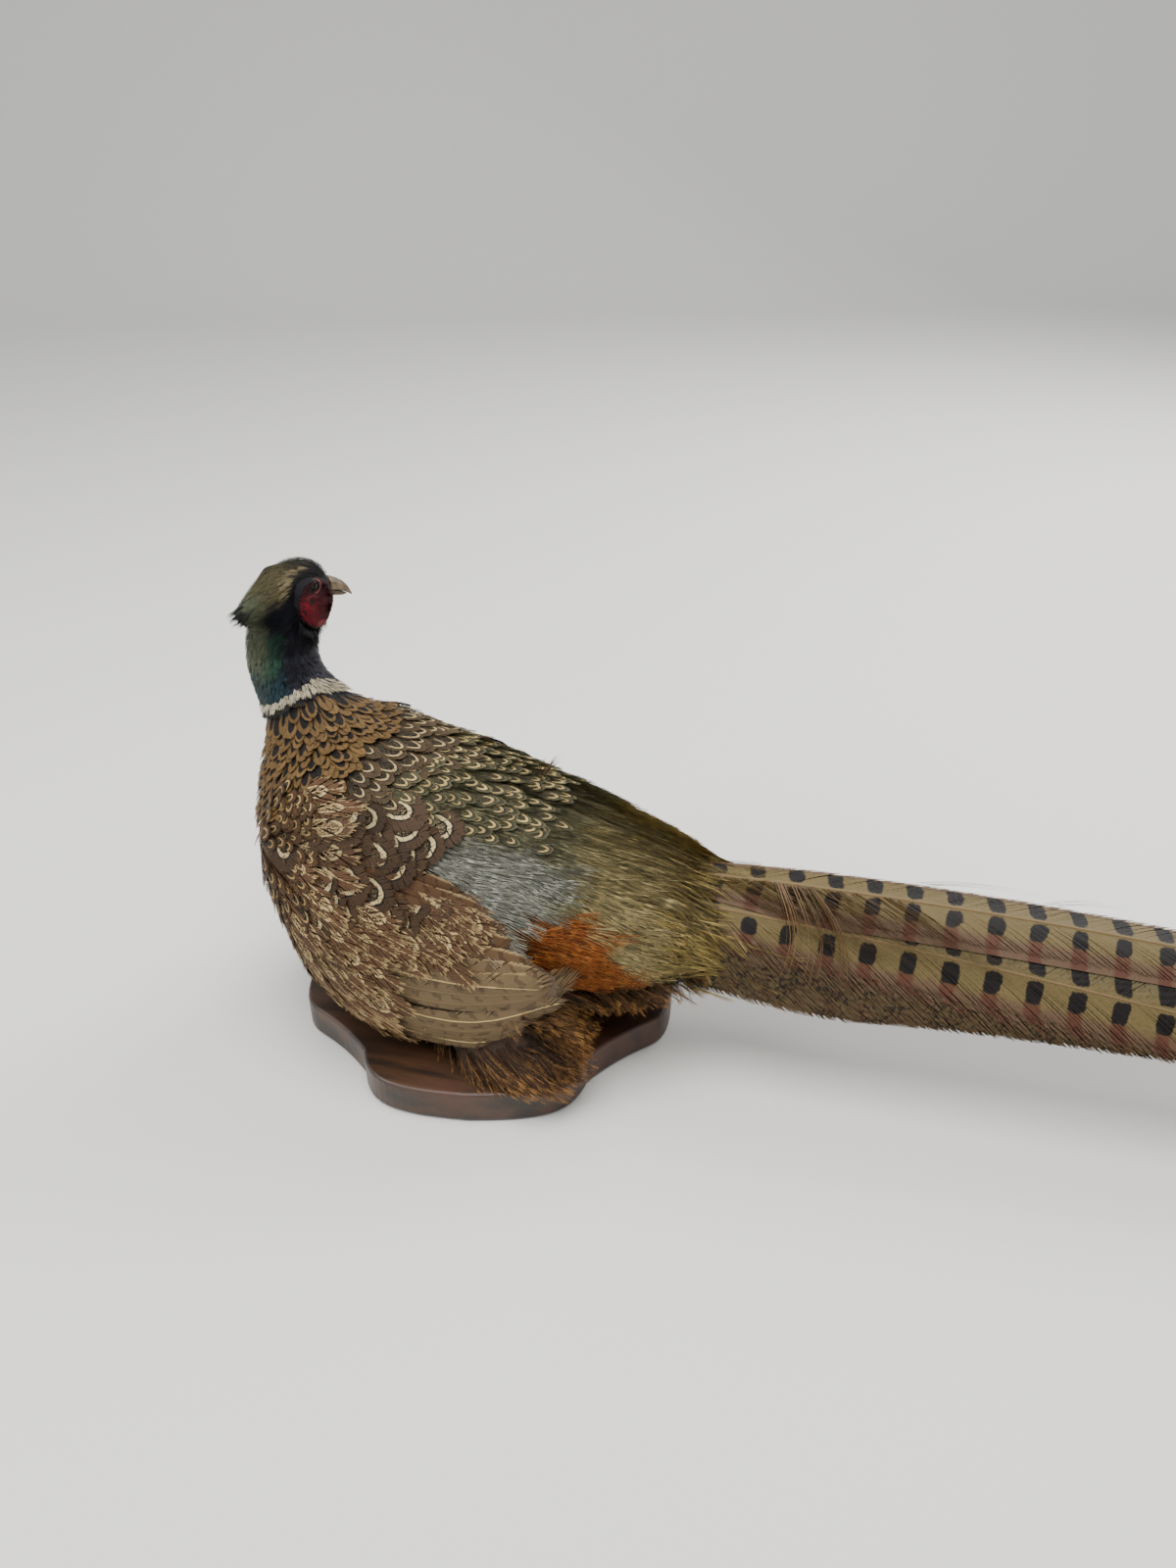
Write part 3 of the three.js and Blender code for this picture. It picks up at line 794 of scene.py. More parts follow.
DRESSES = {
    "mantle": dress(17, 7.4, 3.5, 4.0, BLACK, BLACK, GOLD, tone(88, 65, 35), (0.28, 0.5, 0.97, 0.0),
                    rise=0.9, wander=0.18),
    # Dark small feathers just under the white ring: a painted shadow of the ring.
    "fringe": dress(5, 4, 2.0, 1.2, BLACK, BLACK, tone(30, 25, 20), tone(52, 40, 26), (0.4, 0.6, 0.9, 0.0),
                    rise=1.0),
    "breast": dress(24, 13, 5.4, 5, tone(88, 44, 18), tone(104, 52, 20), tone(96, 50, 22), BLACK,
                    (0.3, 0.5, 0.84, 0.0), patch=0.004),
    "upper_back": dress(28, 11, 5.8, 4.5, tone(32, 26, 18), tone(170, 148, 102), tone(62, 49, 32),
                        tone(82, 66, 42), (0.5, 0.64, 0.95, 0.0), rise=1.0, patch=0.006,
                        marks=(1.0, 0.1, 0.6, 1), wander=0.08),
    "scapular": dress(42, 23, 11.0, 5.5, tone(48, 38, 27), tone(182, 162, 118), tone(58, 42, 27),
                      tone(48, 34, 22), (0.44, 0.6, 0.98, 0.0), rise=2.6, patch=0.007,
                      marks=(1.0, 0.4, 0.5, 1), wander=0.06),
    "back": dress(30, 10, 4.4, 5, tone(66, 64, 46), tone(132, 128, 94), tone(96, 92, 68),
                  tone(124, 118, 86), (0.3, 0.5, 0.95, 0.03), kind="plume", rise=0.9, spread=0.1),
    "crescent": dress(21, 7.8, 6.3, 3, tone(44, 42, 28), tone(174, 150, 96), tone(48, 46, 32),
                      tone(80, 76, 52), (0.46, 0.66, 0.86, 0.0), rise=1.1, spread=0.16, patch=0.005,
                      marks=(0.8, 0.1, 0.6, 1), wander=0.08),
    "tail_covert": dress(66, 14, 4.8, 5, tone(82, 72, 46), tone(164, 142, 82), tone(126, 109, 64),
                         tone(158, 134, 76), (0.3, 0.5, 0.9, 0.04), kind="plume", rise=1.5, spread=0.08),
    "blue": dress(34, 12, 4.4, 5, tone(82, 84, 76), tone(164, 162, 148), tone(116, 115, 102),
                  tone(142, 138, 118), (0.3, 0.5, 0.95, 0.05), kind="plume", spread=0.13),
    "rump": dress(42, 12, 4.4, 6, tone(90, 84, 58), tone(164, 148, 98), tone(128, 116, 80),
                  tone(156, 138, 88), (0.3, 0.5, 0.9, 0.04), kind="plume", spread=0.13),
    "rust": dress(40, 12, 4.4, 5.5, tone(86, 44, 14), tone(156, 92, 34), tone(124, 64, 20),
                  tone(146, 90, 38), (0.3, 0.5, 0.9, 0.04), kind="plume", spread=0.11),
    "belly": dress(34, 16, 6.4, 6, tone(34, 24, 17), tone(50, 35, 24), tone(42, 29, 20),
                   tone(56, 38, 25), PLAIN_CUT, kind="plume", spread=0.14),
    "flank": dress(48, 13, 3.9, 7, tone(46, 31, 19), tone(110, 80, 46), tone(74, 50, 30),
                   tone(150, 108, 58), (0.3, 0.5, 0.85, 0.03), kind="plume", rise=2.4, spread=0.16,
                   cling=0.12),
}
print(len(DRESSES), "dresses")


# %% Which dress is worn where
def dress_of(points, parts):
    """The name of the dress at each point. The borders are drawn millimetres, and wander a bit."""
    drawn = (points - SEAT) / MM
    x, out, z = drawn[:, 0], np.abs(drawn[:, 1]), drawn[:, 2]
    wander = np.array([noise.noise(Vector(point) * 60.0) for point in points]) * 10
    x, out, z = x + wander, out + 0.6 * wander, z + 0.5 * wander
    names = np.full(len(points), "rump", dtype="<U12")
    names[x < 52] = "back"
    names[x < -40 - 0.35 * (out - 30)] = "upper_back"
    names[(x > -45) & (x < 48) & (out > 55 - 0.15 * (x + 45)) & (z > 100)] = "blue"
    names[(x > 24) & (x < 68) & (out > 64 - 0.1 * x) & (z < 122)] = "rust"
    names[(x >= 68) & (x < 78 + 0.2 * (90 - z)) & (z < 96 + 1.6 * wander)] = "rust"
    names[x > 92] = "tail_covert"
    names[(x < -26) & (x > -104) & (out > 44) & (z > 122)] = "scapular"
    names[(x < -70) & (out < 46)] = "mantle"
    names[(x < -96) & (z > 118)] = "mantle"
    names[(x < -92) & (z <= 128 + 0.9 * np.clip(out - 12, 0, 26))] = "breast"
    names[(x < -60) & (z < 120) & (parts == TRUNK)] = "breast"
    names[(x > -70) & (z < 70) & (parts == TRUNK)] = "belly"
    names[(x > 60) & (z < 66)] = "flank"
    names[(parts == THIGH_LEFT) | (parts == THIGH_RIGHT)] = "flank"
    names[parts == NECK] = "mantle"
    return names


face_dress = dress_of(face_centre, face_part)
print({name: int((face_dress == name).sum()) for name in DRESSES})

# %% [markdown]
# ## The skin
# The skin is what shows between two feathers. It takes the form's shape, pulled in by the depth of the
# coat, so that the feathers stand on it and their tips end where the solids end. Its vertices carry
# the same tones as the feathers above them, darkened as painted shade for the gaps between feathers.

# %% The skin
SKIN_DEPTH = {TRUNK: 4.2, NECK: 1.6, HEAD: 1.3, WING_LEFT: 2.2, WING_RIGHT: 2.2,
              THIGH_LEFT: 5.0, THIGH_RIGHT: 5.0}
normals = read_points(form_mesh, "normal")
point_part = parts_of(form_points)
depth = np.array([SKIN_DEPTH[part] for part in point_part]) * MM
drawn_points = (form_points - SEAT) / MM
wing_points = (point_part == WING_LEFT) | (point_part == WING_RIGHT)
depth[wing_points] *= 1 - 0.75 * smooth(drawn_points[wing_points, 0], 20, 60)
skin_points = form_points - normals * depth[:, None]
form_mesh.vertices.foreach_set("co", skin_points.astype(np.float32).ravel())
form_mesh.update()
print("the skin lies up to", rounded([depth.max()])[0], "m inside the form")

# %% [markdown]
# The head and neck are painted by their landmarks: the white ring, which stands higher at the nape than
# at the throat, and the outline of the bare skin round the eye.

# %% Landmarks and tones of head and neck
RING_TURN = np.array([-180, -141, -93, -45, 0, 30, 90, 180], float)
RING_HEIGHT = np.array([195, 199, 211, 213, 210, 205, 199, 195], float)
RING_HALF = np.array([1.5, 1.8, 3.0, 4.2, 4.6, 4.6, 3.0, 1.5], float)


def above_ring(points):
    """How far each point stands above the middle of the white ring, and half the ring's height there."""
    drawn = (points - SEAT) / MM
    turn = np.degrees(np.arctan2(drawn[:, 1], drawn[:, 0] + 96))
    return drawn[:, 2] - np.interp(turn, RING_TURN, RING_HEIGHT), np.interp(turn, RING_TURN, RING_HALF)


WATTLE_MIDDLE = np.array([4.5, 15.6, -1.5])
WATTLE_REACH = (14.2, 15.4)
WATTLE_LEAN = 3.5


def round_wattle(local):
    """1 on the rim of the wattle and more outside it, for points of the head's frame."""
    rise = (local[:, 2] - WATTLE_MIDDLE[2]) / WATTLE_REACH[1]
    lean = WATTLE_LEAN * np.clip(-rise, 0, 1) ** 2
    return np.hypot((local[:, 0] - WATTLE_MIDDLE[0] - lean) / WATTLE_REACH[0], rise)


def glaze(paint, mask, colour):
    """Lays a colour over the paint, as strongly as the mask says."""
    paint[:] = paint * (1 - mask[:, None]) + np.asarray(colour) * mask[:, None]


def neck_tone(points):
    """The tones of head and neck: olive crown, purple-black throat, and an iridescent teal nape and green
    band, painted as sheen.
    """
    local = in_head(points)
    drawn = (points - SEAT) / MM
    behind = -(drawn[:, 0] + 106) * BILL_WAY[0] - (drawn[:, 1] - 3) * BILL_WAY[1]
    height = drawn[:, 2]
    forward, up, wide = local[:, 0], local[:, 2], np.abs(local[:, 1])
    flicker = np.array([noise.noise(Vector(point) * 400.0) for point in points])
    paint = np.tile(tone(12, 12, 20), (len(points), 1))
    glaze(paint, smooth(flicker, 0.0, 0.4) * 0.7, tone(24, 21, 36))
    # The neck's own teal iridescence, painted in one fixed place as a sheen.
    glaze(paint, smooth(behind + 4 * flicker, 12, 17) * smooth(height, 236, 220), tone(12, 38, 44))
    edge = 16.5 + (235 - height) * 0.25
    # A band of the neck's green iridescence, painted along a fixed line as a sheen.
    green = smooth(np.abs(behind - edge + 5 * flicker), 4.5, 1.0)
    green *= smooth(height, 217, 223) * smooth(height, 249, 243)
    glaze(paint, green * 0.9, tone(24, 60, 42))
    nape = smooth(behind + 3 * flicker, edge + 1.0, edge + 4.0) * smooth(height, 220, 226)
    glaze(paint, nape, tone(76, 80, 58))
    crown_line = 2.5 + 0.55 * np.minimum(forward, 0)
    glaze(paint, smooth(up - crown_line + 2 * flicker, -2, 3) * smooth(forward, 20, 12), tone(78, 72, 46))
    glaze(paint, smooth(forward + 3 * flicker, -18, -30), tone(80, 84, 64))
    glaze(paint, smooth(up, 13, 18) * smooth(forward, -12, 2), tone(36, 33, 24))
    rim = round_wattle(local)
    glaze(paint, smooth(rim, 1.35, 1.2) * (wide > 5), tone(10, 9, 9))
    brow = smooth(rim, 1.12, 1.22) * smooth(rim, 1.54, 1.38)
    brow *= smooth(up, 2, 5) * smooth(forward, 8, 4) * smooth(wide, 6, 9)
    glaze(paint, brow * smooth(flicker, -0.3, 0.0) * 0.9, tone(130, 116, 84))
    glaze(paint, smooth(forward, 9, 14) * smooth(up, 5, 9), tone(11, 10, 9))
    return paint


# %% The skin's tones and finish
# The skin's tones are darkened as painted shade, for the shadow deep between the feathers.
BODY_GAP_SHADE, HEAD_GAP_SHADE = 0.55, 0.6
skin_tone = np.array([DRESSES[name]["ground"] for name in dress_of(form_points, point_part)]) * BODY_GAP_SHADE
is_head = (point_part == HEAD) | (point_part == NECK)
skin_tone[is_head] = neck_tone(form_points[is_head]) * HEAD_GAP_SHADE
skin_tone[wing_points] = tone(96, 76, 54) * HEAD_GAP_SHADE
paint_points(form_mesh, "hue", skin_tone)
shade_smooth(form_mesh)
skin_finish = Finish("skin", Roughness=0.85)
fine = skin_finish.noise(object_place(skin_finish), 900.0, 3.0)
skin_finish.feed("Base Color", skin_finish.scaled(skin_finish.attribute("hue"), fine * 0.5 + 0.75))
skin_finish.bump(fine, 0.5, 0.0006)
form_mesh.materials.clear()
form_mesh.materials.append(skin_finish.material)
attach(form, "root")
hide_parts(*FLESH)
print("skin has", len(form_mesh.polygons), "faces")

# %% [markdown]
# ## Body plumage
# The body is clothed dress by dress. Round, closed feathers cover the breast, mantle and back, and
# loose plumes the rump, flanks and belly. The templates come in a few variants, so that no two
# neighbours share their torn rims.

# %% The body plumage
TEMPLATES = {
    "round": [vane(24, 0.62, 2.0, slant=0.26, ragged=0.03, seed=seed, tip_share=0.85) for seed in (1, 2, 3)],
    "soft": [vane(26, 0.66, 1.8, slant=0.36, ragged=0.1, camber=0.08, seed=seed) for seed in (13, 14, 15)],
    "plume": [plume(24, seed=seed, fine=0.032) for seed in (4, 5, 6)],
    "small": [vane(7, 0.6, 2.0, ragged=0.08, seed=seed) for seed in (7, 8, 9)],
    "wisp": [plume(9, seed=seed, strands=2, fine=0.1, spread=0.9, wild=0.05) for seed in (10, 11, 12)],
}


def unwrap_body(points):
    """A place in the chart of the body: x along it and the angle round it."""
    drawn = (points - SEAT) / MM
    along = (drawn[:, 0] + 140) / 300
    around = np.arctan2(drawn[:, 1], drawn[:, 2] - 105) / (2 * math.pi) + 0.5
    return np.clip(np.stack([along, around], 1), 0.01, 0.99)


def clothe(tract, style, roots, parts, rng):
    """Lays one dress over its roots. Loose plumes leave the form and hang free."""
    count = len(roots)
    if not count:
        return
    size = 1 + 0.12 * rng.normal(size=count)
    lengths = style["length"] * np.clip(size, 0.7, 1.3)
    if style["kind"] == "plume" and style["cling"] < 0.5:
        drawn_x = (roots[:, 0] - SEAT[0]) / MM
        lengths *= (1 - 0.55 * smooth(drawn_x, 38, 74)) * (0.35 + 0.65 * smooth(drawn_x, 2, 24))
    ways = lie(roots, parts, style["spread"], rng)
    spots, tops = walk(roots, ways, lengths, cling=style["cling"])
    bright = 1 + 0.13 * rng.normal(size=(count, 1))
    colours = {key: np.clip(np.asarray(style[key]) * bright, 0.002, 1) for key in COLOURS}
    cut = np.tile(np.asarray(style["cut"]), (count, 1))
    cut[:, :2] += style["wander"] * rng.normal(size=(count, 1))
    widths = style["width"] * np.clip(1 + 0.12 * rng.normal(size=count), 0.7, 1.3)
    rise = style["rise"] + 0.0005 * np.abs(rng.normal(size=count))
    bake = unwrap_body(roots)
    pick = rng.integers(0, len(TEMPLATES[style["kind"]]), count)
    tract.add_variants(style["kind"], pick, spots, tops, widths, style["depth"], rise, bake, colours, cut,
                       patch=style["patch"], marks=style["marks"])


on_wing = (face_part == WING_LEFT) | (face_part == WING_RIGHT)
face_k = wing_share(face_centre)
wing_rear = on_wing & (face_k < 0.12) & (face_centre[:, 0] > 0.0) & (face_dress != "rust")
on_body = (face_part == TRUNK) | (face_part == THIGH_LEFT) | (face_part == THIGH_RIGHT) | wing_rear
ring_rise, ring_half = above_ring(face_centre)
low_neck = (face_part == NECK) & (ring_rise < 0)
left_side = face_centre[:, 1] < SEAT[1]
under_ring = np.abs(ring_rise + 0.75 * ring_half + 0.6) < 0.9
# A thin row of dark feathers under the ring, as a painted shadow of the ring.
fringe = (face_part == NECK) & under_ring & (ring_half < 3.4)
BODY_PIECES = {
    "mantle_feathers": ["mantle", "upper_back", "fringe"],
    "breast_feathers": ["breast"],
    "back_feathers": ["back", "crescent"],
    "rump_feathers": ["rump", "blue", "tail_covert"],
    "rust_feathers": ["rust"],
    "flank_left_feathers": ["flank"],
    "flank_right_feathers": ["flank"],
    "belly_feathers": ["belly"],
}
SLOTS = dict.fromkeys(("flank_left_feathers", "flank_right_feathers", "belly_feathers"), "flank_plumage")


def worn(name):
    """The faces on which the feathers of a dress stand."""
    if name == "fringe":
        return fringe
    if name == "crescent":
        fades = smooth((face_centre[:, 0] - SEAT[0]) / MM, 8, 46)
        return (face_dress == "back") & on_body & (chance("fading").random(len(fades)) > fades)
    return (face_dress == name) & (on_body | low_neck)


for piece, dresses in BODY_PIECES.items():
    rng = chance(piece)
    tract = Tract(piece)
    for name in dresses:
        allowed = worn(name)
        if piece.startswith("flank"):
            allowed &= left_side if "left" in piece else ~left_side
        roots, parts = strew(allowed, DRESSES[name]["spacing"], rng)
        clothe(tract, DRESSES[name], roots, parts, rng)
    tract.finish(feather_finish, SLOTS.get(piece, "body_plumage"))

# %% [markdown]
# Here and there a few single wisps stand apart. They are laid one kind of template at a time, from
# given roots along given ways.


# %% The stray tuft on the back
def wisps(name, variant, roots, ways, lengths, cling, width, depth, rise, colours, chart,
          slot="head_plumage"):
    """A piece of loose wisps of one template. Width and depth are in millimetres."""
    tract = Tract(name)
    spots, tops = walk(roots, ways, lengths, 4, cling)
    tract.add(TEMPLATES["wisp"][variant], spots, tops, width * MM, depth * MM, rise, chart(roots), colours)
    return tract.finish(feather_finish, slot)


TUFT_AT = place(34, 21, 154)
rng = chance("stray tuft")
count = 16
roots = TUFT_AT + rng.normal(size=(count, 3)) * (0.003, 0.002, 0.0005)
ways = unit(np.array([0.75, 0.0, 0.8]) + 0.16 * rng.normal(size=(count, 3)))
lengths = 14 * MM * (1 + 0.2 * rng.normal(size=count))
tuft_tone = {key: tone(96, 76, 54) * (1 + 0.2 * rng.normal(size=(count, 1))) for key in COLOURS}
wisps("back_tuft", 1, roots, ways, lengths, 0.0, 1.6, 1.0, 0.5 * MM, tuft_tone, unwrap_body, "body_plumage")

# %% [markdown]
# ## The folded wing
# A folded wing shows three layers. Scapulars with big pale bands lie over its top edge. Rows of mottled
# coverts cover its front half. From under them the flight feathers run back and close like a fan, the
# upper ones over the lower ones. Each flight feather is laid along its own line on the wing's flow.

# %% Coverts and scapulars
COVERTS = {
    "scapular": DRESSES["scapular"],
    "bend": dress(19, 8.4, 4.6, 2.5, BLACK, tone(158, 130, 82), tone(72, 50, 29), tone(50, 35, 22),
                  (0.36, 0.56, 0.88, 0.0), rise=2.2, marks=(0.9, 0.3, 0.5, 1), wander=0.1),
    "covert": dress(48, 15, 6.2, 1.5, tone(52, 33, 21), tone(172, 148, 104), tone(80, 56, 37),
                    tone(128, 106, 72), (0.34, 0.46, 0.92, 0.05), kind="soft", rise=3.2, patch=0.006,
                    marks=(0.3, 1.0, 0.4, 1), wander=0.1),
    "edge": dress(48, 12, 5.4, 1.5, tone(62, 31, 20), tone(176, 154, 112), tone(92, 60, 40),
                  tone(144, 118, 82), (0.3, 0.42, 0.74, 0.07), kind="soft", rise=2.2, patch=0.006,
                  marks=(0.0, 0.85, 0.9, 1), wander=0.1),
}
x_drawn = (face_centre[:, 0] - SEAT[0]) / MM
scapular_faces = (face_dress == "scapular") & ((on_wing & (face_k < 0.5)) | (face_part == TRUNK))
edge_faces = on_wing & (x_drawn < -54) & (face_k > 0.76)
cover_end = -6 - 48 * smooth(face_k, 0.1, 0.55)
COVER_FACES = {
    "covert": on_wing & (x_drawn < cover_end) & (x_drawn > -96) & ~edge_faces & ~scapular_faces,
    "bend": (on_wing & (x_drawn < -84)) | (scapular_faces & (x_drawn < -82)),
    "edge": edge_faces,
    "scapular": scapular_faces,
}

rng = chance("coverts")
tract = Tract("wing_covert_feathers")
for name, style in COVERTS.items():
    roots, parts = strew(COVER_FACES[name], style["spacing"], rng)
    clothe(tract, style, roots, parts, rng)
tract.finish(feather_finish, "wing_coverts")

# %% The flight finish
flight = Finish("flight feathers", Roughness=0.55, Specular_IOR_Level=0.2)
u, along = flight.vane_place()
mottle = flight.noise(object_place(flight), 150.0, 4.0) - 0.5
bars = flight.sine(along * 62.0 + u * 3.0 + mottle * 7.0)
dark = bars.step(0.55, 0.85) * u.step(0.12, 0.3) * 0.55
paint = flight.mix(dark, flight.attribute("ground"), flight.attribute("core"))
paint = flight.mix((u + mottle * 0.2).step(0.78, 0.95), paint, flight.attribute("rim"))
paint = flight.mix((0.055 - u).step(-0.01, 0.015), paint, flight.attribute("band"))
barb_line = flight.sine((along * 520.0) - (u * 60.0) + mottle * 5.0)
flight.feed("Base Color", flight.scaled(paint, 1 - (0.5 + 0.5 * barb_line) * 0.1 + mottle * 0.3))
flight.bump(barb_line, 0.2, 0.0003)
flight_finish = flight.material

# %% Flight feathers
# Each line gives the drawn x and the share k of root and tip, and the vane's breadth in millimetres.
FLIGHT_LINES = [
    (-84, 0.985, -12, 0.985, 9), (-76, 0.97, 12, 0.97, 10), (-66, 0.94, 34, 0.95, 12),
    (-60, 0.9, 50, 0.92, 14), (-54, 0.85, 64, 0.86, 15), (-50, 0.79, 76, 0.74, 16),
    (-46, 0.72, 81, 0.5, 16), (-46, 0.65, 78, 0.42, 17), (-48, 0.57, 76, 0.36, 19),
    (-50, 0.49, 70, 0.28, 20), (-52, 0.41, 63, 0.2, 20), (-54, 0.33, 55, 0.12, 20),
    (-58, 0.25, 45, 0.06, 20), (-62, 0.17, 32, 0.02, 19), (-66, 0.1, 16, 0.0, 17)]
FLIGHT_STATIONS = 11
PALE_QUILLS = (0, 2, 5, 8, 10)
flight_vanes = [quill_vane(64, seed=seed) for seed in (21, 22, 23)]


def flight_fan(side, name):
    """The flight feathers of one wing, the lower ones first and nearest to the body."""
    rng = chance(name)
    tract = Tract(name)
    for order, (x_root, k_root, x_tip, k_tip, broad) in enumerate(FLIGHT_LINES):
        shares = np.linspace(0, 1, FLIGHT_STATIONS)
        drawn_x = x_root + (x_tip - x_root) * shares
        heights = wing_height(drawn_x, k_root + (k_tip - k_root) * shares)
        for _ in range(4):
            heights[1:-1] = (heights[:-2] + 2 * heights[1:-1] + heights[2:]) / 4
        found = [wing_spot(x, height, side) for x, height in zip(drawn_x, heights)]
        spots = np.array([spot for spot, _ in found])
        tops = unit(np.array([normal for _, normal in found]) + np.array([0, side * 1.2, 0]))
        lift = (0.11 * order - 0.75) * MM
        pale = 1 + 0.08 * rng.normal()
        inner = float(smooth(order, 8, 11))
        ground = (1 - inner) * tone(104, 86, 60) + inner * tone(78, 54, 32)
        quill = tone(200, 174, 118) if order in PALE_QUILLS else ground * 1.3
        colours = {"core": (1 - inner) * tone(62, 48, 34) + inner * tone(46, 28, 16), "band": quill,
                   "ground": ground * pale, "rim": tone(140, 118, 82) * pale}
        bake = np.array([[0.08 + 0.06 * order, 0.5]])
        tract.add(flight_vanes[order % 3], spots[None], tops[None], broad / 2 * MM, -lift + 0.6 * MM, lift,
                  bake, colours, patch=0.05)
    made = tract.finish(flight_finish, "flight_feathers")
    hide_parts(name.replace("_feathers", ""))
    return made


flight_fan(-1, "wing_left_flight_feathers")
flight_fan(1, "wing_right_flight_feathers")

# %% [markdown]
# ## The tail
# The tail has nine pairs of feathers that overlap like a steep roof, with one middle feather on the
# ridge. The same curves that gave the solids place every barb here: across the roof, down from the
# ridge, and along a soft droop. The barbs cling together, but here and there a vane has split. A
# thin sheet under each vane keeps the light out of its splits.

# %% The roof of the tail
TAIL_MIDDLE, TAIL_RIDGE_Y, TAIL_RIDGE_TOP, TAIL_TOP_X = -7.0, 11.0, 111.5, 210.0
TAIL_DROOP, TAIL_BEND, TAIL_FALL = 0.0002, 34.0, math.radians(46)
TAIL_ROOT_X, TAIL_LONGEST, TAIL_SHORTEST = 112.0, 488.0, 150.0
TAIL_PAIRS, TAIL_LAYER = 9, 1.5
INNER_BROADER = 1.5
TAIL_CHART = 500.0  # the millimetres of tail that the map Vane spans
BACKING_ROWS, BACKING_DEPTH = 60, 0.7


def roof_point(x, out, depth):
    """A point of the tail's roof, from millimetres along it, out across it and below its surface."""
    radius = TAIL_BEND / TAIL_FALL
    turned = np.minimum(np.abs(out), TAIL_BEND) / radius
    straight = np.maximum(0, np.abs(out) - TAIL_BEND)
    y = radius * np.sin(turned) + straight * math.cos(TAIL_FALL) - depth * np.sin(turned)
    down = radius * (1 - np.cos(turned)) + straight * math.sin(TAIL_FALL) + depth * np.cos(turned)
    ridge = TAIL_RIDGE_TOP - TAIL_DROOP * (x - TAIL_TOP_X) ** 2
    return np.stack([x, TAIL_RIDGE_Y + np.sign(out) * y, ridge - down], -1) * MM + SEAT


def tail_vane(pair, side, rng):
    """One tail feather: its points, quads and the two numbers of its own vane for each point."""
    on_ridge = side > 0 and pair == 1
    order = pair - 1
    share = order / (TAIL_PAIRS - 1)
    length = TAIL_SHORTEST + (TAIL_LONGEST - TAIL_SHORTEST) * (1 - share) ** 1.2
    broad = 42 + (25 - 42) * share
    start = 2 if on_ridge else 17 + 3.9 * order
    end = 0 if on_ridge else 42 + 2.6 * order
    depth = (order + (0 if on_ridge else 1)) * TAIL_LAYER

    def half(t):
        opening = np.minimum(1, 0.5 + 3 * t)
        point = np.sqrt(np.maximum(0, 1 - np.maximum(0, (t - 0.35) / 0.65) ** 2.2))
        return np.maximum(broad / 2 * opening * point, 0.6)

    def spot(t, s, lift):
        shaft = start + (end - start) * np.sin(np.clip(t, 0, 1) * math.pi / 2)
        out = TAIL_MIDDLE + side * (shaft + s * half(np.clip(t, 0, 1)))
        return roof_point(TAIL_ROOT_X + length * t, out, depth - lift)

    count = int(length / 1.25)
    splits = rng.random(int(length / 110)) * 0.9 + 0.05
    grids, charts = [], []
    for hand in (-1, 1):
        tip = (np.arange(count) + 0.5) / count
        advance = 1.5 * half(tip) / length
        shift = np.zeros(count)
        for split in splits:
            if rng.random() < 0.5:
                gap = (tip - split) * length
                shift += (1.0 + 2.2 * rng.random()) * np.sign(gap) * np.exp(-np.abs(gap) / 9) / length
        shift += 0.25 * rng.normal(size=count) / length
        root = np.maximum(tip - advance, 0)
        reach = (1.0 if on_ridge or hand > 0 else INNER_BROADER) + 0.03 * rng.normal(size=count)
        thick = 0.5 / count
        for share_out, swell in ((0.0, 1.0), (0.5, 1.12), (0.85, 1.1), (1.0, 0.55)):
            t = root + (tip - root) * share_out ** 0.9 + shift * share_out ** 2
            s = hand * reach * share_out * np.ones(count)
            lift = 0.35 - 0.5 * share_out ** 2 + 0.05 * rng.normal(size=count) * share_out
            for edge in (-1, 1):
                grids.append(spot(t + edge * thick * swell, s, lift))
                along = (t * length + edge * 0.4) / TAIL_CHART
                charts.append(np.stack([np.clip(s, -1, 1) * 0.5 + 0.5, along], 1))
    points = np.array(grids)
    charts = np.array(charts)
    index = np.arange(2 * 4 * 2 * count).reshape(2, 4, 2, count)
    quads = []
    for hand in (0, 1):
        for column in range(3):
            near, far = index[hand, column], index[hand, column + 1]
            ring = [near[0], far[0], far[1], near[1]]
            flip = (hand == 1) != (side > 0)
            quads.append(np.stack(ring[::-1] if flip else ring, 1))
    t = np.linspace(0.02, 0.95, BACKING_ROWS)
    backing_s = (-1.2 if on_ridge else -1.3, -0.6, 0.0, 0.45, 0.84)
    backing = np.array([spot(t, s + 0 * t, -BACKING_DEPTH + 0 * t) for s in backing_s])
    backing_chart = np.array([np.stack([np.clip(s, -1, 1) * 0.5 + 0.5 + 0 * t, t * length / TAIL_CHART], 1)
                              for s in backing_s])
    at = len(backing_s) * BACKING_ROWS
    grid = np.arange(at).reshape(len(backing_s), BACKING_ROWS) + index.size
    ring = [grid[:-1, :-1], grid[1:, :-1], grid[1:, 1:], grid[:-1, 1:]]
    quads.append(np.stack(ring if side > 0 else ring[::-1], -1).reshape(-1, 4))
    points = np.concatenate([points.reshape(-1, 3), backing.reshape(-1, 3)])
    charts = np.concatenate([charts.reshape(-1, 2), backing_chart.reshape(-1, 2)])
    return points, np.concatenate(quads), charts, length, spot


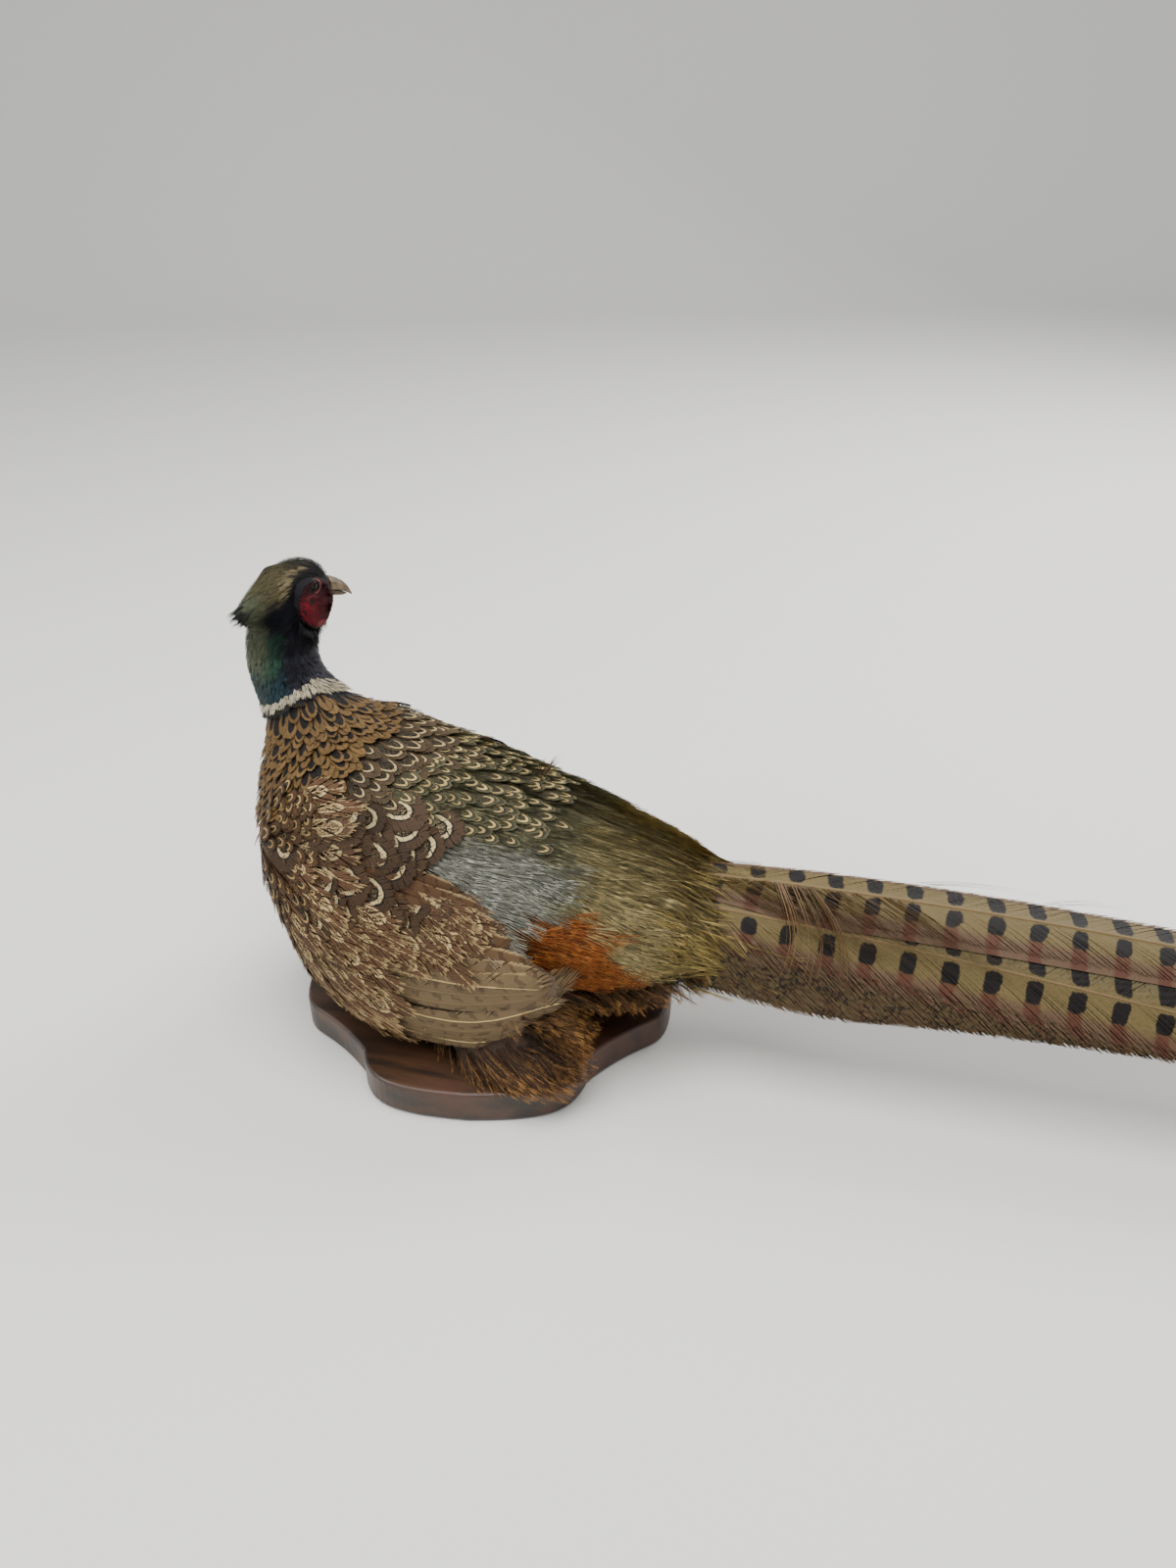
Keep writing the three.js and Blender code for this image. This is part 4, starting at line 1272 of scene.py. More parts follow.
def shaft_ridge(spot, length, thick):
    """The quill of a tail feather as a low ridge along its middle."""
    t = np.linspace(0, 0.985, 40)
    rows = []
    for out, up in ((-1, 0.35), (-0.5, 0.9), (0.5, 0.9), (1, 0.35)):
        base = spot(t, 0 * t, 0 * t + up)
        across = spot(t, 0 * t + 0.02, 0 * t + up) - spot(t, 0 * t - 0.02, 0 * t + up)
        rows.append(base + unit(across) * (out * thick * (1.1 - t) * MM)[:, None])
    points = np.array(rows)
    index = np.arange(4 * 40).reshape(4, 40)
    quads = [np.stack([index[row, :-1], index[row + 1, :-1], index[row + 1, 1:], index[row, 1:]], 1)
             for row in range(3)]
    charts = np.stack([np.full((4, 40), 0.5), np.tile(t * length / TAIL_CHART, (4, 1))], -1)
    return points.reshape(-1, 3), np.concatenate(quads), charts.reshape(-1, 2)


print("the roof's ridge starts at", np.round(roof_point(np.array([TAIL_ROOT_X]), np.array([0.0]), 0)[0], 4))

# %% The tail finish
MAROON = tone(74, 38, 26)
tail = Finish("tail feathers", Roughness=0.55, Specular_IOR_Level=0.16)
u, along = tail.vane_place()
where = object_place(tail)
mottle = tail.noise(where, 90.0, 5.0) - 0.5
speck = tail.noise(where, 520.0, 3.0) - 0.5
spacing, phase, strength = tail.channels(tail.attribute("cut"))
worm = tail.attribute("cut", out="Alpha")
blot_reach = tail.attribute("core", out="Alpha")
millimetres = along * TAIL_CHART
turn = (millimetres / (spacing * 100.0) + phase + mottle * 0.16 + u * 0.1).math("FRACT")
from_bar = abs(turn - 0.5) * spacing * 100.0
blot_across = abs(u - 0.1 - blot_reach) / blot_reach
blot = (blot_across ** 4.0 + (from_bar / 4.2) ** 4.0) ** 0.25 + speck * 0.45 + mottle * 0.5
bar = (1.05 - blot).step(-0.08, 0.1) * strength
stain = (from_bar + speck * 3.0 + mottle * 3.0).step(5.0, 2.5) * u.step(0.5, 0.62) * strength
paint = tail.mix((u + mottle * 0.3).step(0.55, 0.85), tail.attribute("ground"), tail.attribute("rim"))
paint = tail.mix((speck + mottle * 0.6).step(0.0, 0.14) * worm, paint, tail.attribute("core"))
paint = tail.mix(stain * 0.75, paint, MAROON)
paint = tail.mix(bar, paint, tail.attribute("core"))
paint = tail.mix((0.035 - u).step(-0.008, 0.01) * 0.85, paint, tail.attribute("band"))
barb_line = tail.sine((millimetres * 4.4) - (u * 70.0) + mottle * 4.0)
tail.feed("Base Color", tail.scaled(paint, 1 - (0.5 + 0.5 * barb_line) * 0.14 + mottle * 0.25))
tail.bump(barb_line, 0.25, 0.0003)
tail_finish = tail.material


# %% The tail feathers
def tail_fan(side, name):
    """The tail feathers of one side, the outer and lower ones first."""
    rng = chance(name)
    tract = Tract(name)
    word = "left" if side < 0 else "right"
    for pair in range(TAIL_PAIRS, 0, -1):
        points, quads, chart, length, spot = tail_vane(pair, side, rng)
        quill = shaft_ridge(spot, length, 1.1 if pair < 4 else 0.8)
        quads = np.concatenate([quads, quill[1] + len(points)])
        points = np.concatenate([points, quill[0]])
        chart = np.concatenate([chart, quill[2]])
        plain = float(smooth(pair, 1.5, 4))
        ground = tone(98, 84, 51) * (1 - 0.25 * plain)
        rim = tone(88, 68, 50) * (1 - plain) + tone(76, 62, 40) * plain
        bake = np.stack([0.03 + (pair - 1) * 0.105 + chart[:, 0] * 0.09, 0.02 + chart[:, 1] * 0.96], 1)
        count = len(points)
        inner_vane = chart[:, 0] < 0.5
        colours = {"core": tone(20, 16, 13), "band": tone(112, 92, 62), "ground": ground, "rim": rim}
        spread = {key: np.tile((*colours[key], 1.0), (count, 1)) for key in COLOURS}
        worn_grey = inner_vane if side < 0 else np.zeros(count, bool)
        spread["ground"][worn_grey, :3] = tone(88, 80, 56)
        spread["rim"][worn_grey, :3] = tone(70, 64, 46)
        spread["core"][:, 3] = np.where(inner_vane == (side < 0), 0.36, 0.27)
        phase = 0.02 if pair == 1 else rng.random()
        cuts = np.tile((0.225 - 0.006 * pair, phase, 1.0 - 0.75 * plain, 0.12 + 0.75 * plain), (count, 1))
        cuts[worn_grey, 3] = np.maximum(cuts[worn_grey, 3], 0.7)
        tract.gather(points, quads, chart, bake, {**spread, "cut": cuts})
    made = tract.finish(tail_finish, "tail_feathers")
    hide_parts(*[f"tail_feather_{word}_{pair}" for pair in range(1, TAIL_PAIRS + 1)])
    return made


tail_fan(-1, "tail_left_feathers")
tail_fan(1, "tail_right_feathers")


# %% Loose barbs of the tail
def loose_barbs(name, strands):
    """Single barbs that have come away from a vane. Each strand is a row of points in metres."""
    tract = Tract(name)
    rng = chance(name)
    for strand in strands:
        strand = np.asarray(strand)
        steps = len(strand)
        ahead = unit(np.gradient(strand, axis=0))
        side = unit(np.cross(ahead, np.array([0, 0.5, 1.0])))
        wide = 0.34 * MM * np.linspace(1.1, 0.3, steps)[:, None]
        points = np.concatenate([strand - side * wide, strand + side * wide])
        near = np.arange(steps - 1)
        quads = np.stack([near, near + 1, near + 1 + steps, near + steps], 1)
        share = np.tile(np.linspace(0, 1, steps), 2)
        chart = np.stack([np.full(2 * steps, 0.95), share * 0.05], 1)
        bake = np.stack([0.96 + 0.02 * rng.random() + PATCH * np.repeat([0, 1], steps),
                         0.1 + 0.8 * rng.random() + PATCH * share], 1)
        hue = tone(98, 74, 44) * (0.3 + 0.8 * rng.random())
        spread = {key: np.tile((*hue, 1.0), (2 * steps, 1)) for key in COLOURS}
        cuts = np.tile((0.225, 0.0, 0.0, 0.0), (2 * steps, 1))
        tract.gather(points, quads, chart, bake, {**spread, "cut": cuts})
    return tract.finish(tail_finish, "tail_feathers")


def roof_strand(from_x, to_x, from_out, to_out, lift, sag=0.0, low=0.8, steps=9):
    """A barb that runs over the roof of the tail and lifts off it by some millimetres on its way."""
    share = np.linspace(0, 1, steps)
    out = from_out + (to_out - from_out) * share ** 0.85
    x = from_x + (to_x - from_x) * share + sag * np.sin(math.pi * share)
    return roof_point(x, out, -(low + lift * np.sin(math.pi * share * 0.75)))


rng = chance("loose barbs")
strands = []
for _ in range(70):
    start = 142 + 105 * rng.random()
    strands.append(roof_strand(start, start + 62 + 30 * rng.random(), -8 + 2 * rng.random(),
                               -36 - 12 * rng.random(), 1.0 + rng.random()))
for bundle_x, lean in ((178, 10), (188, 16), (196, 24)):
    for _ in range(7):
        drift = 1.6 * rng.normal()
        strands.append(roof_strand(bundle_x + drift, bundle_x + lean + 2 * drift, -7,
                                   -58 + 3 * rng.normal(), 2.0 + rng.random(), 7.0, 1.8))
for start, reach, count in ((252, 62, 9), (318, 48, 6)):
    for _ in range(count):
        x = start + 14 * rng.random()
        strands.append(roof_strand(x, x + reach * (0.7 + 0.4 * rng.random()), 13 + 3 * rng.random(),
                                   18 + 4 * rng.random(), 2.0 + 3.0 * rng.random()))
loose_barbs("tail_loose_barbs", strands)

# %% [markdown]
# ## Head and neck
# The small feathers of the head and neck are only a few millimetres long and lie very flat. Their
# tones come from the same function as the skin's. They are the smallest round the face.

# %% Head and neck feathers
glossy_finish = plumage_finish("neck gloss", roughness=0.45, gloss=0.02, shine=0.18)


def unwrap_head(points):
    """A place in the chart of head and neck: down from the bill, and round the neck."""
    local = in_head(points)
    around = np.arctan2(local[:, 1], -local[:, 0] + 0.4 * local[:, 2]) / (2 * math.pi) + 0.5
    down = (70 - local[:, 2]) / 160
    return np.clip(np.stack([around, down], 1), 0.01, 0.99)


def small_coat(name, allowed, spacing, length, width, depth, slot, material, colour_of, rise=0.35,
               spread=0.08, kind="small"):
    """A coat of small feathers, sized in millimetres, that take their tones from a function of place."""
    rng = chance(name)
    roots, parts = strew(allowed, spacing * MM, rng)
    count = len(roots)
    tract = Tract(name)
    lengths = length * MM * np.clip(1 + 0.15 * rng.normal(size=count), 0.6, 1.4)
    spots, tops = walk(roots, lie(roots, parts, spread, rng), lengths, 4)
    paint = colour_of(roots + unit(spots[:, 1] - spots[:, 0]) * length * 0.5 * MM)
    paint = np.clip(paint * (1 + 0.16 * rng.normal(size=(count, 1))), 0.002, 1)
    colours = {"core": paint * 0.7, "band": paint * 1.1, "ground": paint, "rim": paint * 0.85}
    pick = rng.integers(0, len(TEMPLATES[kind]), count)
    widths = width / 2 * MM * (1 + 0.1 * rng.normal(size=count))
    heights = rise * MM + 0.0002 * np.abs(rng.normal(size=count))
    tract.add_variants(kind, pick, spots, tops, widths, depth * MM, heights, unwrap_head(roots), colours,
                       np.tile(PLAIN_CUT, (count, 1)))
    return tract.finish(material, slot)


head_local = in_head(face_centre)
bare_face = (np.abs(head_local[:, 1]) > 6) & (round_wattle(head_local) < 0.84) & (face_part == HEAD)
bill_root = (head_local[:, 0] > 21.5) & (face_part == HEAD)
on_head = (face_part == HEAD) & ~bare_face & ~bill_root
on_neck = (face_part == NECK) & (ring_rise > 0.6 * ring_half)
small_coat("head_feathers", on_head, 1.12, 5.6, 2.2, 1.2, "head_plumage", feather_finish, neck_tone,
           kind="wisp")
small_coat("neck_feathers", on_neck, 1.8, 8.0, 3.4, 1.6, "neck_plumage", glossy_finish, neck_tone)


# %% The white ring
def ring_tone(points):
    return np.tile(tone(194, 182, 154), (len(points), 1))


in_ring = (np.abs(ring_rise - 1.0) < 0.75 * ring_half) & (face_centre[:, 2] > 0.18)
in_ring &= (face_part == NECK) | (face_part == TRUNK)
small_coat("ring_feathers", in_ring, 0.95, 4.8, 2.6, 1.0, "neck_plumage", feather_finish, ring_tone,
           rise=1.5, spread=0.12, kind="wisp")

# %% [markdown]
# Longer wisps soften the borders of the face: a tuft behind each eye, a frame round each wattle, the
# throat under the bill, and the tip of the nape.


# %% Ear tufts
def on_form(local):
    """The nearest points of the form to points of the head's own frame."""
    return np.array([form_tree.find_nearest(Vector(from_head(*spot)))[0] for spot in local])


def uneven(rng, count):
    """How bright each wisp is beside the others."""
    return np.clip(1 + 0.3 * rng.normal(size=(count, 1)), 0.4, 2)


BESIDE_HEAD = 18.0  # millimetres out from the head's middle, on its cheek
TUFT_ROOT = np.array([-11.0, 16.5, -3.0])


def ear_tuft(side, name):
    """The black tuft behind each eye, which stands a little off the head."""
    rng = chance(name)
    count = 130
    local = TUFT_ROOT * (1, side, 1) + rng.normal(size=(count, 3)) * (2.8, 0.8, 2.6)
    roots = on_form(local)
    way = head_axes @ np.array([-0.74, -0.12 * side, -0.62])
    ways = unit(way + 0.1 * rng.normal(size=(count, 3)))
    lengths = 14 * MM * (1 + 0.2 * rng.normal(size=count))
    colours = {key: tone(13, 14, 22) * uneven(rng, count) for key in COLOURS}
    rise = 1.4 * MM * (1 + 0.4 * rng.normal(size=count))
    return wisps(name, 0, roots, ways, lengths, 0.45, 1.8, 0.8, rise, colours, unwrap_head)


ear_tuft(1, "ear_tuft_left")
ear_tuft(-1, "ear_tuft_right")

# %% The frame of the wattle
def around_wattle(side, name):
    """Short black feathers that hem the bare skin, lie over its rim, and hang longer below it."""
    rng = chance(name)
    count = 330
    turn = 2 * math.pi * rng.random(count)
    rise = np.sin(turn) * (1.0 + 0.05 * rng.normal(size=count))
    lean = WATTLE_LEAN * np.clip(-rise, 0, 1) ** 2
    forward = WATTLE_REACH[0] * np.cos(turn) * (1.0 + 0.05 * rng.normal(size=count))
    forward += WATTLE_MIDDLE[0] + lean
    up = WATTLE_MIDDLE[2] + WATTLE_REACH[1] * rise
    local = np.stack([forward, np.full(count, side * BESIDE_HEAD), up], 1)
    roots = on_form(local)
    low = smooth(-rise, 0.2, 0.8)[:, None]
    inward = np.stack([-np.cos(turn), np.zeros(count), -np.sin(turn)], 1)
    drawn_in = 0.55 + 0.9 * (np.cos(turn) < 0)[:, None]
    way = (np.array([-0.8, 0.0, -0.35]) + drawn_in * inward) * (1 - low) + np.array([-0.25, 0.0, -1.0]) * low
    ways = unit(way @ head_axes.T + 0.22 * rng.normal(size=(count, 3)))
    lengths = (5.0 + 2.5 * low[:, 0]) * MM * np.clip(1 + 0.25 * rng.normal(size=count), 0.5, 1.6)
    colours = {key: tone(13, 13, 17) * uneven(rng, count) for key in COLOURS}
    rise = (3.0 + 1.0 * rng.random(count)) * MM
    return wisps(name, 1, roots, ways, lengths, 0.4, 1.1, 0.8, rise, colours, unwrap_head)


around_wattle(1, "wattle_frame_left")
around_wattle(-1, "wattle_frame_right")

# %% The throat
rng = chance("throat")
count = 260
local = np.stack([2 + 20 * rng.random(count), 7 * rng.normal(size=count), -20 + rng.normal(size=count)], 1)
roots = on_form(local)
ways = unit(head_axes @ np.array([-0.2, 0.0, -1.0]) + 0.12 * rng.normal(size=(count, 3)))
lengths = 7.5 * MM * (1 + 0.2 * rng.normal(size=count))
colours = dict.fromkeys(COLOURS, tone(12, 12, 17) * uneven(rng, count))
wisps("throat_feathers", 0, roots, ways, lengths, 0.2, 1.5, 0.8, 0.8 * MM, colours, unwrap_head)

# %% The tip of the nape
rng = chance("nape")
count = 46
local = np.array([-31.0, 0.0, -5.5]) + rng.normal(size=(count, 3)) * (1.8, 3.0, 2.6)
roots = on_form(local)
ways = unit(head_axes @ np.array([-0.86, 0.0, -0.5]) + 0.13 * rng.normal(size=(count, 3)))
lengths = 9 * MM * (1 + 0.25 * rng.normal(size=count))
shade = tone(30, 33, 27) * np.clip(1 + 0.5 * rng.normal(size=(count, 1)), 0.3, 3)
rise = 0.6 * MM * (1 + 0.4 * rng.normal(size=count))
wisps("nape_tuft", 2, roots, ways, lengths, 0.3, 1.2, 0.8, rise, dict.fromkeys(COLOURS, shade), unwrap_head)

# %% [markdown]
# ## Wattles and eyes
# Round each eye lies a bare red wattle. Its skin is set with small soft warts and rises in a ring
# round the eye, where the lids hold the eyeball. A grid is drawn over the solid wattle, each of its
# points is lifted by the warts and the lid, and its rim sinks under the feathers.

# %% Wattles
EYE_AT = (2.0, 16.0, 9.2)
EYE_RADIUS = 3.9
LID_OPENING = 2.5
LID_DEPTH, RIM_DEPTH = 3.2, 3.0
FAR_OUT = 60  # millimetres, from where the solid wattle is looked at


def wattle(side, word):
    """The bare skin round one eye, as a fine grid over the solid wattle."""
    tree = BVHTree.FromPolygons(*joined(["wattle_" + word])[:2])
    shape = bmesh.new()
    grid = bmesh.ops.create_grid(shape, x_segments=72, y_segments=72, size=1.0)["verts"]
    outward = Vector(head_axes @ np.array([0, side, 0]))
    for vert in grid:
        a, b = vert.co.x, vert.co.y
        round_off = math.sqrt(max(1e-9, a * a + b * b))
        square = max(abs(a), abs(b))
        a, b = a * square / round_off, b * square / round_off
        lobe = 1 + 0.07 * math.sin(3 * math.atan2(b, a) + 0.6)
        lobe += 0.03 * noise.noise(Vector((a * 3, b * 3, side)))
        forward = WATTLE_MIDDLE[0] + WATTLE_REACH[0] * lobe * a + WATTLE_LEAN * max(0, -b) ** 2
        up = WATTLE_MIDDLE[2] + WATTLE_REACH[1] * lobe * b
        start = Vector(from_head(forward, side * FAR_OUT, up))
        hit = tree.ray_cast(start, -outward)[0]
        if hit is None:
            hit = tree.find_nearest(Vector(from_head(forward, side * BESIDE_HEAD, up)))[0]
            hit = Vector(from_head(forward, in_head(np.array([hit]))[0][1], up))
        from_eye = math.hypot(forward - EYE_AT[0], up - EYE_AT[2])
        out = side * in_head(np.array([hit]))[0][1]
        wart = noise.voronoi(Vector((forward, up, side * 9)) * 0.85)[0][0]
        fold = noise.noise(Vector((forward * 0.16, up * 0.3, side * 4.0)))
        out += (0.55 - wart) * 0.55 * min(1, from_eye / 7) + 0.7 * fold * (1 - square ** 4)
        lid = EYE_AT[1] + math.sqrt(max(0, EYE_RADIUS ** 2 - LID_OPENING ** 2)) + 0.35
        near = float(smooth(from_eye, 8.0, LID_OPENING + 0.4))
        out = out * (1 - near) + lid * near
        out -= LID_DEPTH * float(smooth(from_eye, LID_OPENING + 0.1, LID_OPENING - 0.5))
        out -= RIM_DEPTH * float(smooth(square, 0.9, 1.0))
        vert.co = from_head(forward, side * out, up)
    bmesh.ops.recalc_face_normals(shape, faces=shape.faces)
    if sum(face.normal.dot(outward) for face in shape.faces) < 0:
        bmesh.ops.reverse_faces(shape, faces=shape.faces)
    made = keep(shape, "wattle_skin_" + word)
    paint_points(made.data, "hue", wattle_tone(in_head(read_points(made.data, "co"))))
    shade_smooth(made.data)
    made.data.materials.append(wattle_finish.material)
    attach(made, "root")
    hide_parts("wattle_" + word)
    return made


def wattle_tone(local):
    """Dark crimson above, brighter below and behind, pink at its foremost tip, and a pale fold by the eye."""
    forward, up = local[:, 0], local[:, 2]
    paint = np.tile(tone(52, 4, 10), (len(local), 1))
    glaze(paint, smooth(up, 0, 8), tone(40, 6, 12))
    glaze(paint, smooth(np.hypot(forward + 3, (up + 7) * 0.8), 12, 3), tone(84, 7, 20))
    glaze(paint, smooth(np.hypot(forward + 7.5, up + 3.5), 8, 1), tone(110, 12, 30))
    glaze(paint, smooth(np.hypot((forward - 9) * 0.7, up + 14), 4, 1.5), tone(116, 46, 48))
    ragged = np.array([noise.noise(Vector(spot) * 0.9) for spot in local])
    dimple = np.hypot(forward * 0.8, up - 0.6) + 0.9 * ragged
    glaze(paint, smooth(np.abs(dimple - 3.4), 0.7, 0.2) * smooth(up, 1.4, 2.8) * 0.5, tone(104, 44, 48))
    glaze(paint, smooth(dimple, 2.6, 1.0) * 0.9, tone(15, 9, 10))
    from_eye = np.hypot(forward - EYE_AT[0], up - EYE_AT[2])
    glaze(paint, smooth(from_eye, LID_OPENING + 1.6, LID_OPENING + 0.2), tone(26, 8, 10))
    fold = smooth(np.abs(from_eye - LID_OPENING - 1.6), 0.7, 0.2) * smooth(forward - EYE_AT[0], -1.0, 1.5)
    glaze(paint, fold * 0.7, tone(120, 70, 66))
    glaze(paint, smooth(round_wattle(local) + 0.09 * ragged, 0.86, 0.93), tone(12, 11, 14))
    return paint


wattle_finish = Finish("wattle", Roughness=0.6, Specular_IOR_Level=0.12)
where = object_place(wattle_finish)
cells = wattle_finish.node("ShaderNodeTexVoronoi", {}, Vector=where, Scale=1500.0)
clouds = wattle_finish.noise(where, 180.0, 3.0)
dots = wattle_finish.node("ShaderNodeTexVoronoi", {}, Vector=where, Scale=330.0)
paint = wattle_finish.scaled(wattle_finish.attribute("hue"), clouds * 0.9 + 0.55)
paint = wattle_finish.mix(cells.step(0.5, 0.95) * 0.6, paint, tone(24, 2, 5))
paint = wattle_finish.mix((0.15 - dots).step(0.0, 0.06) * clouds.step(0.42, 0.5), paint, BLACK)
wattle_finish.feed("Base Color", paint)
wattle_finish.bump(1 - cells, 0.6, 0.0004)
wattle(1, "left")
wattle(-1, "right")
print("wattles made")

# %% Eyes
eye_finish = Finish("eye glass", Roughness=0.2, Coat_Weight=0.08, Coat_Roughness=0.05,
                    Specular_IOR_Level=0.15)
facing = eye_finish.attribute("facing", out="Fac")
paint = eye_finish.mix(facing.step(0.91, 0.87), tone(6, 5, 5), tone(44, 26, 14))
paint = eye_finish.mix(facing.step(0.76, 0.70), paint, tone(22, 14, 10))
eye_finish.feed("Base Color", paint)
for side, word in ((1, "left"), (-1, "right")):
    centre = from_head(EYE_AT[0], side * EYE_AT[1], EYE_AT[2])
    shape = bmesh.new()
    bmesh.ops.create_uvsphere(shape, u_segments=32, v_segments=20, radius=EYE_RADIUS * MM)
    bmesh.ops.translate(shape, verts=shape.verts, vec=Vector(centre))
    ball = keep(shape, "eyeball_" + word)
    gaze = unit(head_axes @ np.array([0.12, side * 1.0, 0.05]))
    turned = (read_points(ball.data, "co") - centre) @ gaze / (EYE_RADIUS * MM)
    ball.data.attributes.new("facing", "FLOAT", "POINT").data.foreach_set("value", turned.astype(np.float32))
    shade_smooth(ball.data)
    ball.data.materials.append(eye_finish.material)
    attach(ball, "root")
    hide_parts("eye_" + word)
print("eyes made")

# %% [markdown]
# ## Bill, feet and board
# Bill and feet are horn and scaled skin. Their solids are remeshed finely and smoothed. The board is
# cut from one plank along a scalloped curve, its edges are eased and it is oiled dark.


# %% Bill and feet
def smoothed(name, names, voxel, rounds):
    """A piece that takes the place of some nodes, with their edges rounded."""
    made = remeshed(keep(merged(names), name), voxel, rounds)
    shade_smooth(made.data)
    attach(made, "root")
    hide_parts(*names)
    return made


horn = Finish("bill horn", Roughness=0.5, Specular_IOR_Level=0.25)
streak = horn.noise(object_place(horn), 300.0, 4.0)
horn.feed("Base Color", horn.mix(streak.step(0.35, 0.7), tone(72, 58, 42), tone(104, 87, 66)))
horn.bump(streak, 0.15, 0.0003)
for word in ("upper", "lower"):
    piece = smoothed("bill_horn_" + word, ["bill_" + word], 0.45, 5)
    piece.data.materials.append(horn.material)

scale_finish = Finish("leg scales", Roughness=0.5)
where = object_place(scale_finish)
scutes = scale_finish.node("ShaderNodeTexVoronoi", {"feature": "DISTANCE_TO_EDGE"}, Vector=where, Scale=420.0)
paint = scale_finish.mix(scutes.step(0.0, 0.12), tone(52, 46, 38), tone(112, 104, 88))
scale_finish.feed("Base Color", paint)
scale_finish.bump(scutes.step(0.0, 0.2), 0.6, 0.0005)
for word in ("left", "right"):
    piece = smoothed("leg_" + word, ["tarsus_" + word, "foot_" + word], 0.8, 4)
    piece.data.materials.append(scale_finish.material)
print("bill and feet made")

# %% The board
BOARD_LENGTH, BOARD_WIDTH, BOARD_THICK, BOARD_ROUND = 113.5, 111.0, 20.0, 2.0
BOARD_TURN = math.radians(10.5)


def bezier(points, steps):
    """Points of a Bezier curve of any degree, without its last one."""
    degree = len(points) - 1
    t = np.arange(steps)[:, None] / steps
    return sum(math.comb(degree, at) * t ** at * (1 - t) ** (degree - at) * np.array(point)
               for at, point in enumerate(points))


def verts_of(geometry):
    """The vertices among what a bmesh operator gives back."""
    return [item for item in geometry if isinstance(item, bmesh.types.BMVert)]


quarter = np.concatenate([
    bezier([(1, 0), (1, 0.34), (0.95, 0.36), (0.84, 0.44)], 10),
    bezier([(0.84, 0.44), (0.68, 0.56), (0.575, 0.7)], 8),
    bezier([(0.575, 0.7), (0.52, 0.92), (0.4, 0.98), (0, 1)], 14), [(0, 1)]])
half = np.concatenate([quarter, quarter[-2::-1] * (-1, 1)])
whole = np.concatenate([half, half[-2:0:-1] * (1, -1)]) * (BOARD_LENGTH, BOARD_WIDTH)
turned = whole @ np.array([[math.cos(BOARD_TURN), math.sin(BOARD_TURN)],
                           [-math.sin(BOARD_TURN), math.cos(BOARD_TURN)]])
shape = bmesh.new()
rim_verts = [shape.verts.new((x * MM, y * MM, 0)) for x, y in turned]
face = shape.faces.new(rim_verts)
grown = bmesh.ops.extrude_face_region(shape, geom=[face])["geom"]
bmesh.ops.translate(shape, verts=verts_of(grown), vec=(0, 0, BOARD_THICK * MM))
bmesh.ops.recalc_face_normals(shape, faces=shape.faces)
level = [edge for edge in shape.edges if abs(edge.verts[0].co.z - edge.verts[1].co.z) < 1e-6]
bmesh.ops.bevel(shape, geom=level, offset=BOARD_ROUND * MM, segments=4, profile=0.5, affect="EDGES",
                material=-1)
board = keep(shape, "board")
wood = Finish("oiled walnut", Roughness=0.42, Coat_Weight=0.12, Coat_Roughness=0.3)
BOARD_GRAIN, BOARD_PORES = (9.0, 70.0, 40.0), (60.0, 1500.0, 1500.0)
where, fine = (wood.node("ShaderNodeMapping", {}, object_place(wood), Rotation=(0, 0, 0.5), Scale=scale)
               for scale in (BOARD_GRAIN, BOARD_PORES))
grain = wood.noise(where, 1.6, 5.0)
pore = wood.noise(fine, 1.0, 2.0)
stain = wood.noise(object_place(wood), 16.0, 3.0)
paint = wood.mix(grain.step(0.35, 0.65), tone(34, 22, 13), tone(68, 44, 27))
paint = wood.mix(stain.step(0.52, 0.7) * 0.5, paint, tone(72, 38, 24))
paint = wood.mix(pore.step(0.58, 0.72) * 0.5, paint, tone(20, 13, 9))
wood.feed("Base Color", paint)
wood.feed("Roughness", stain * 0.25 + 0.32)
wood.bump(grain * 0.5 + pore * 0.5, 0.15, 0.0004)
board.data.materials.append(wood.material)
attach(board, "root")
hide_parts("base_board")
print("board has", len(board.data.polygons), "faces")

# %% [markdown]
# ## The ground and the light
# A pale floor and broad soft lights from above, as in a room with white walls, show the small relief
# of the feathers without hard shadows.

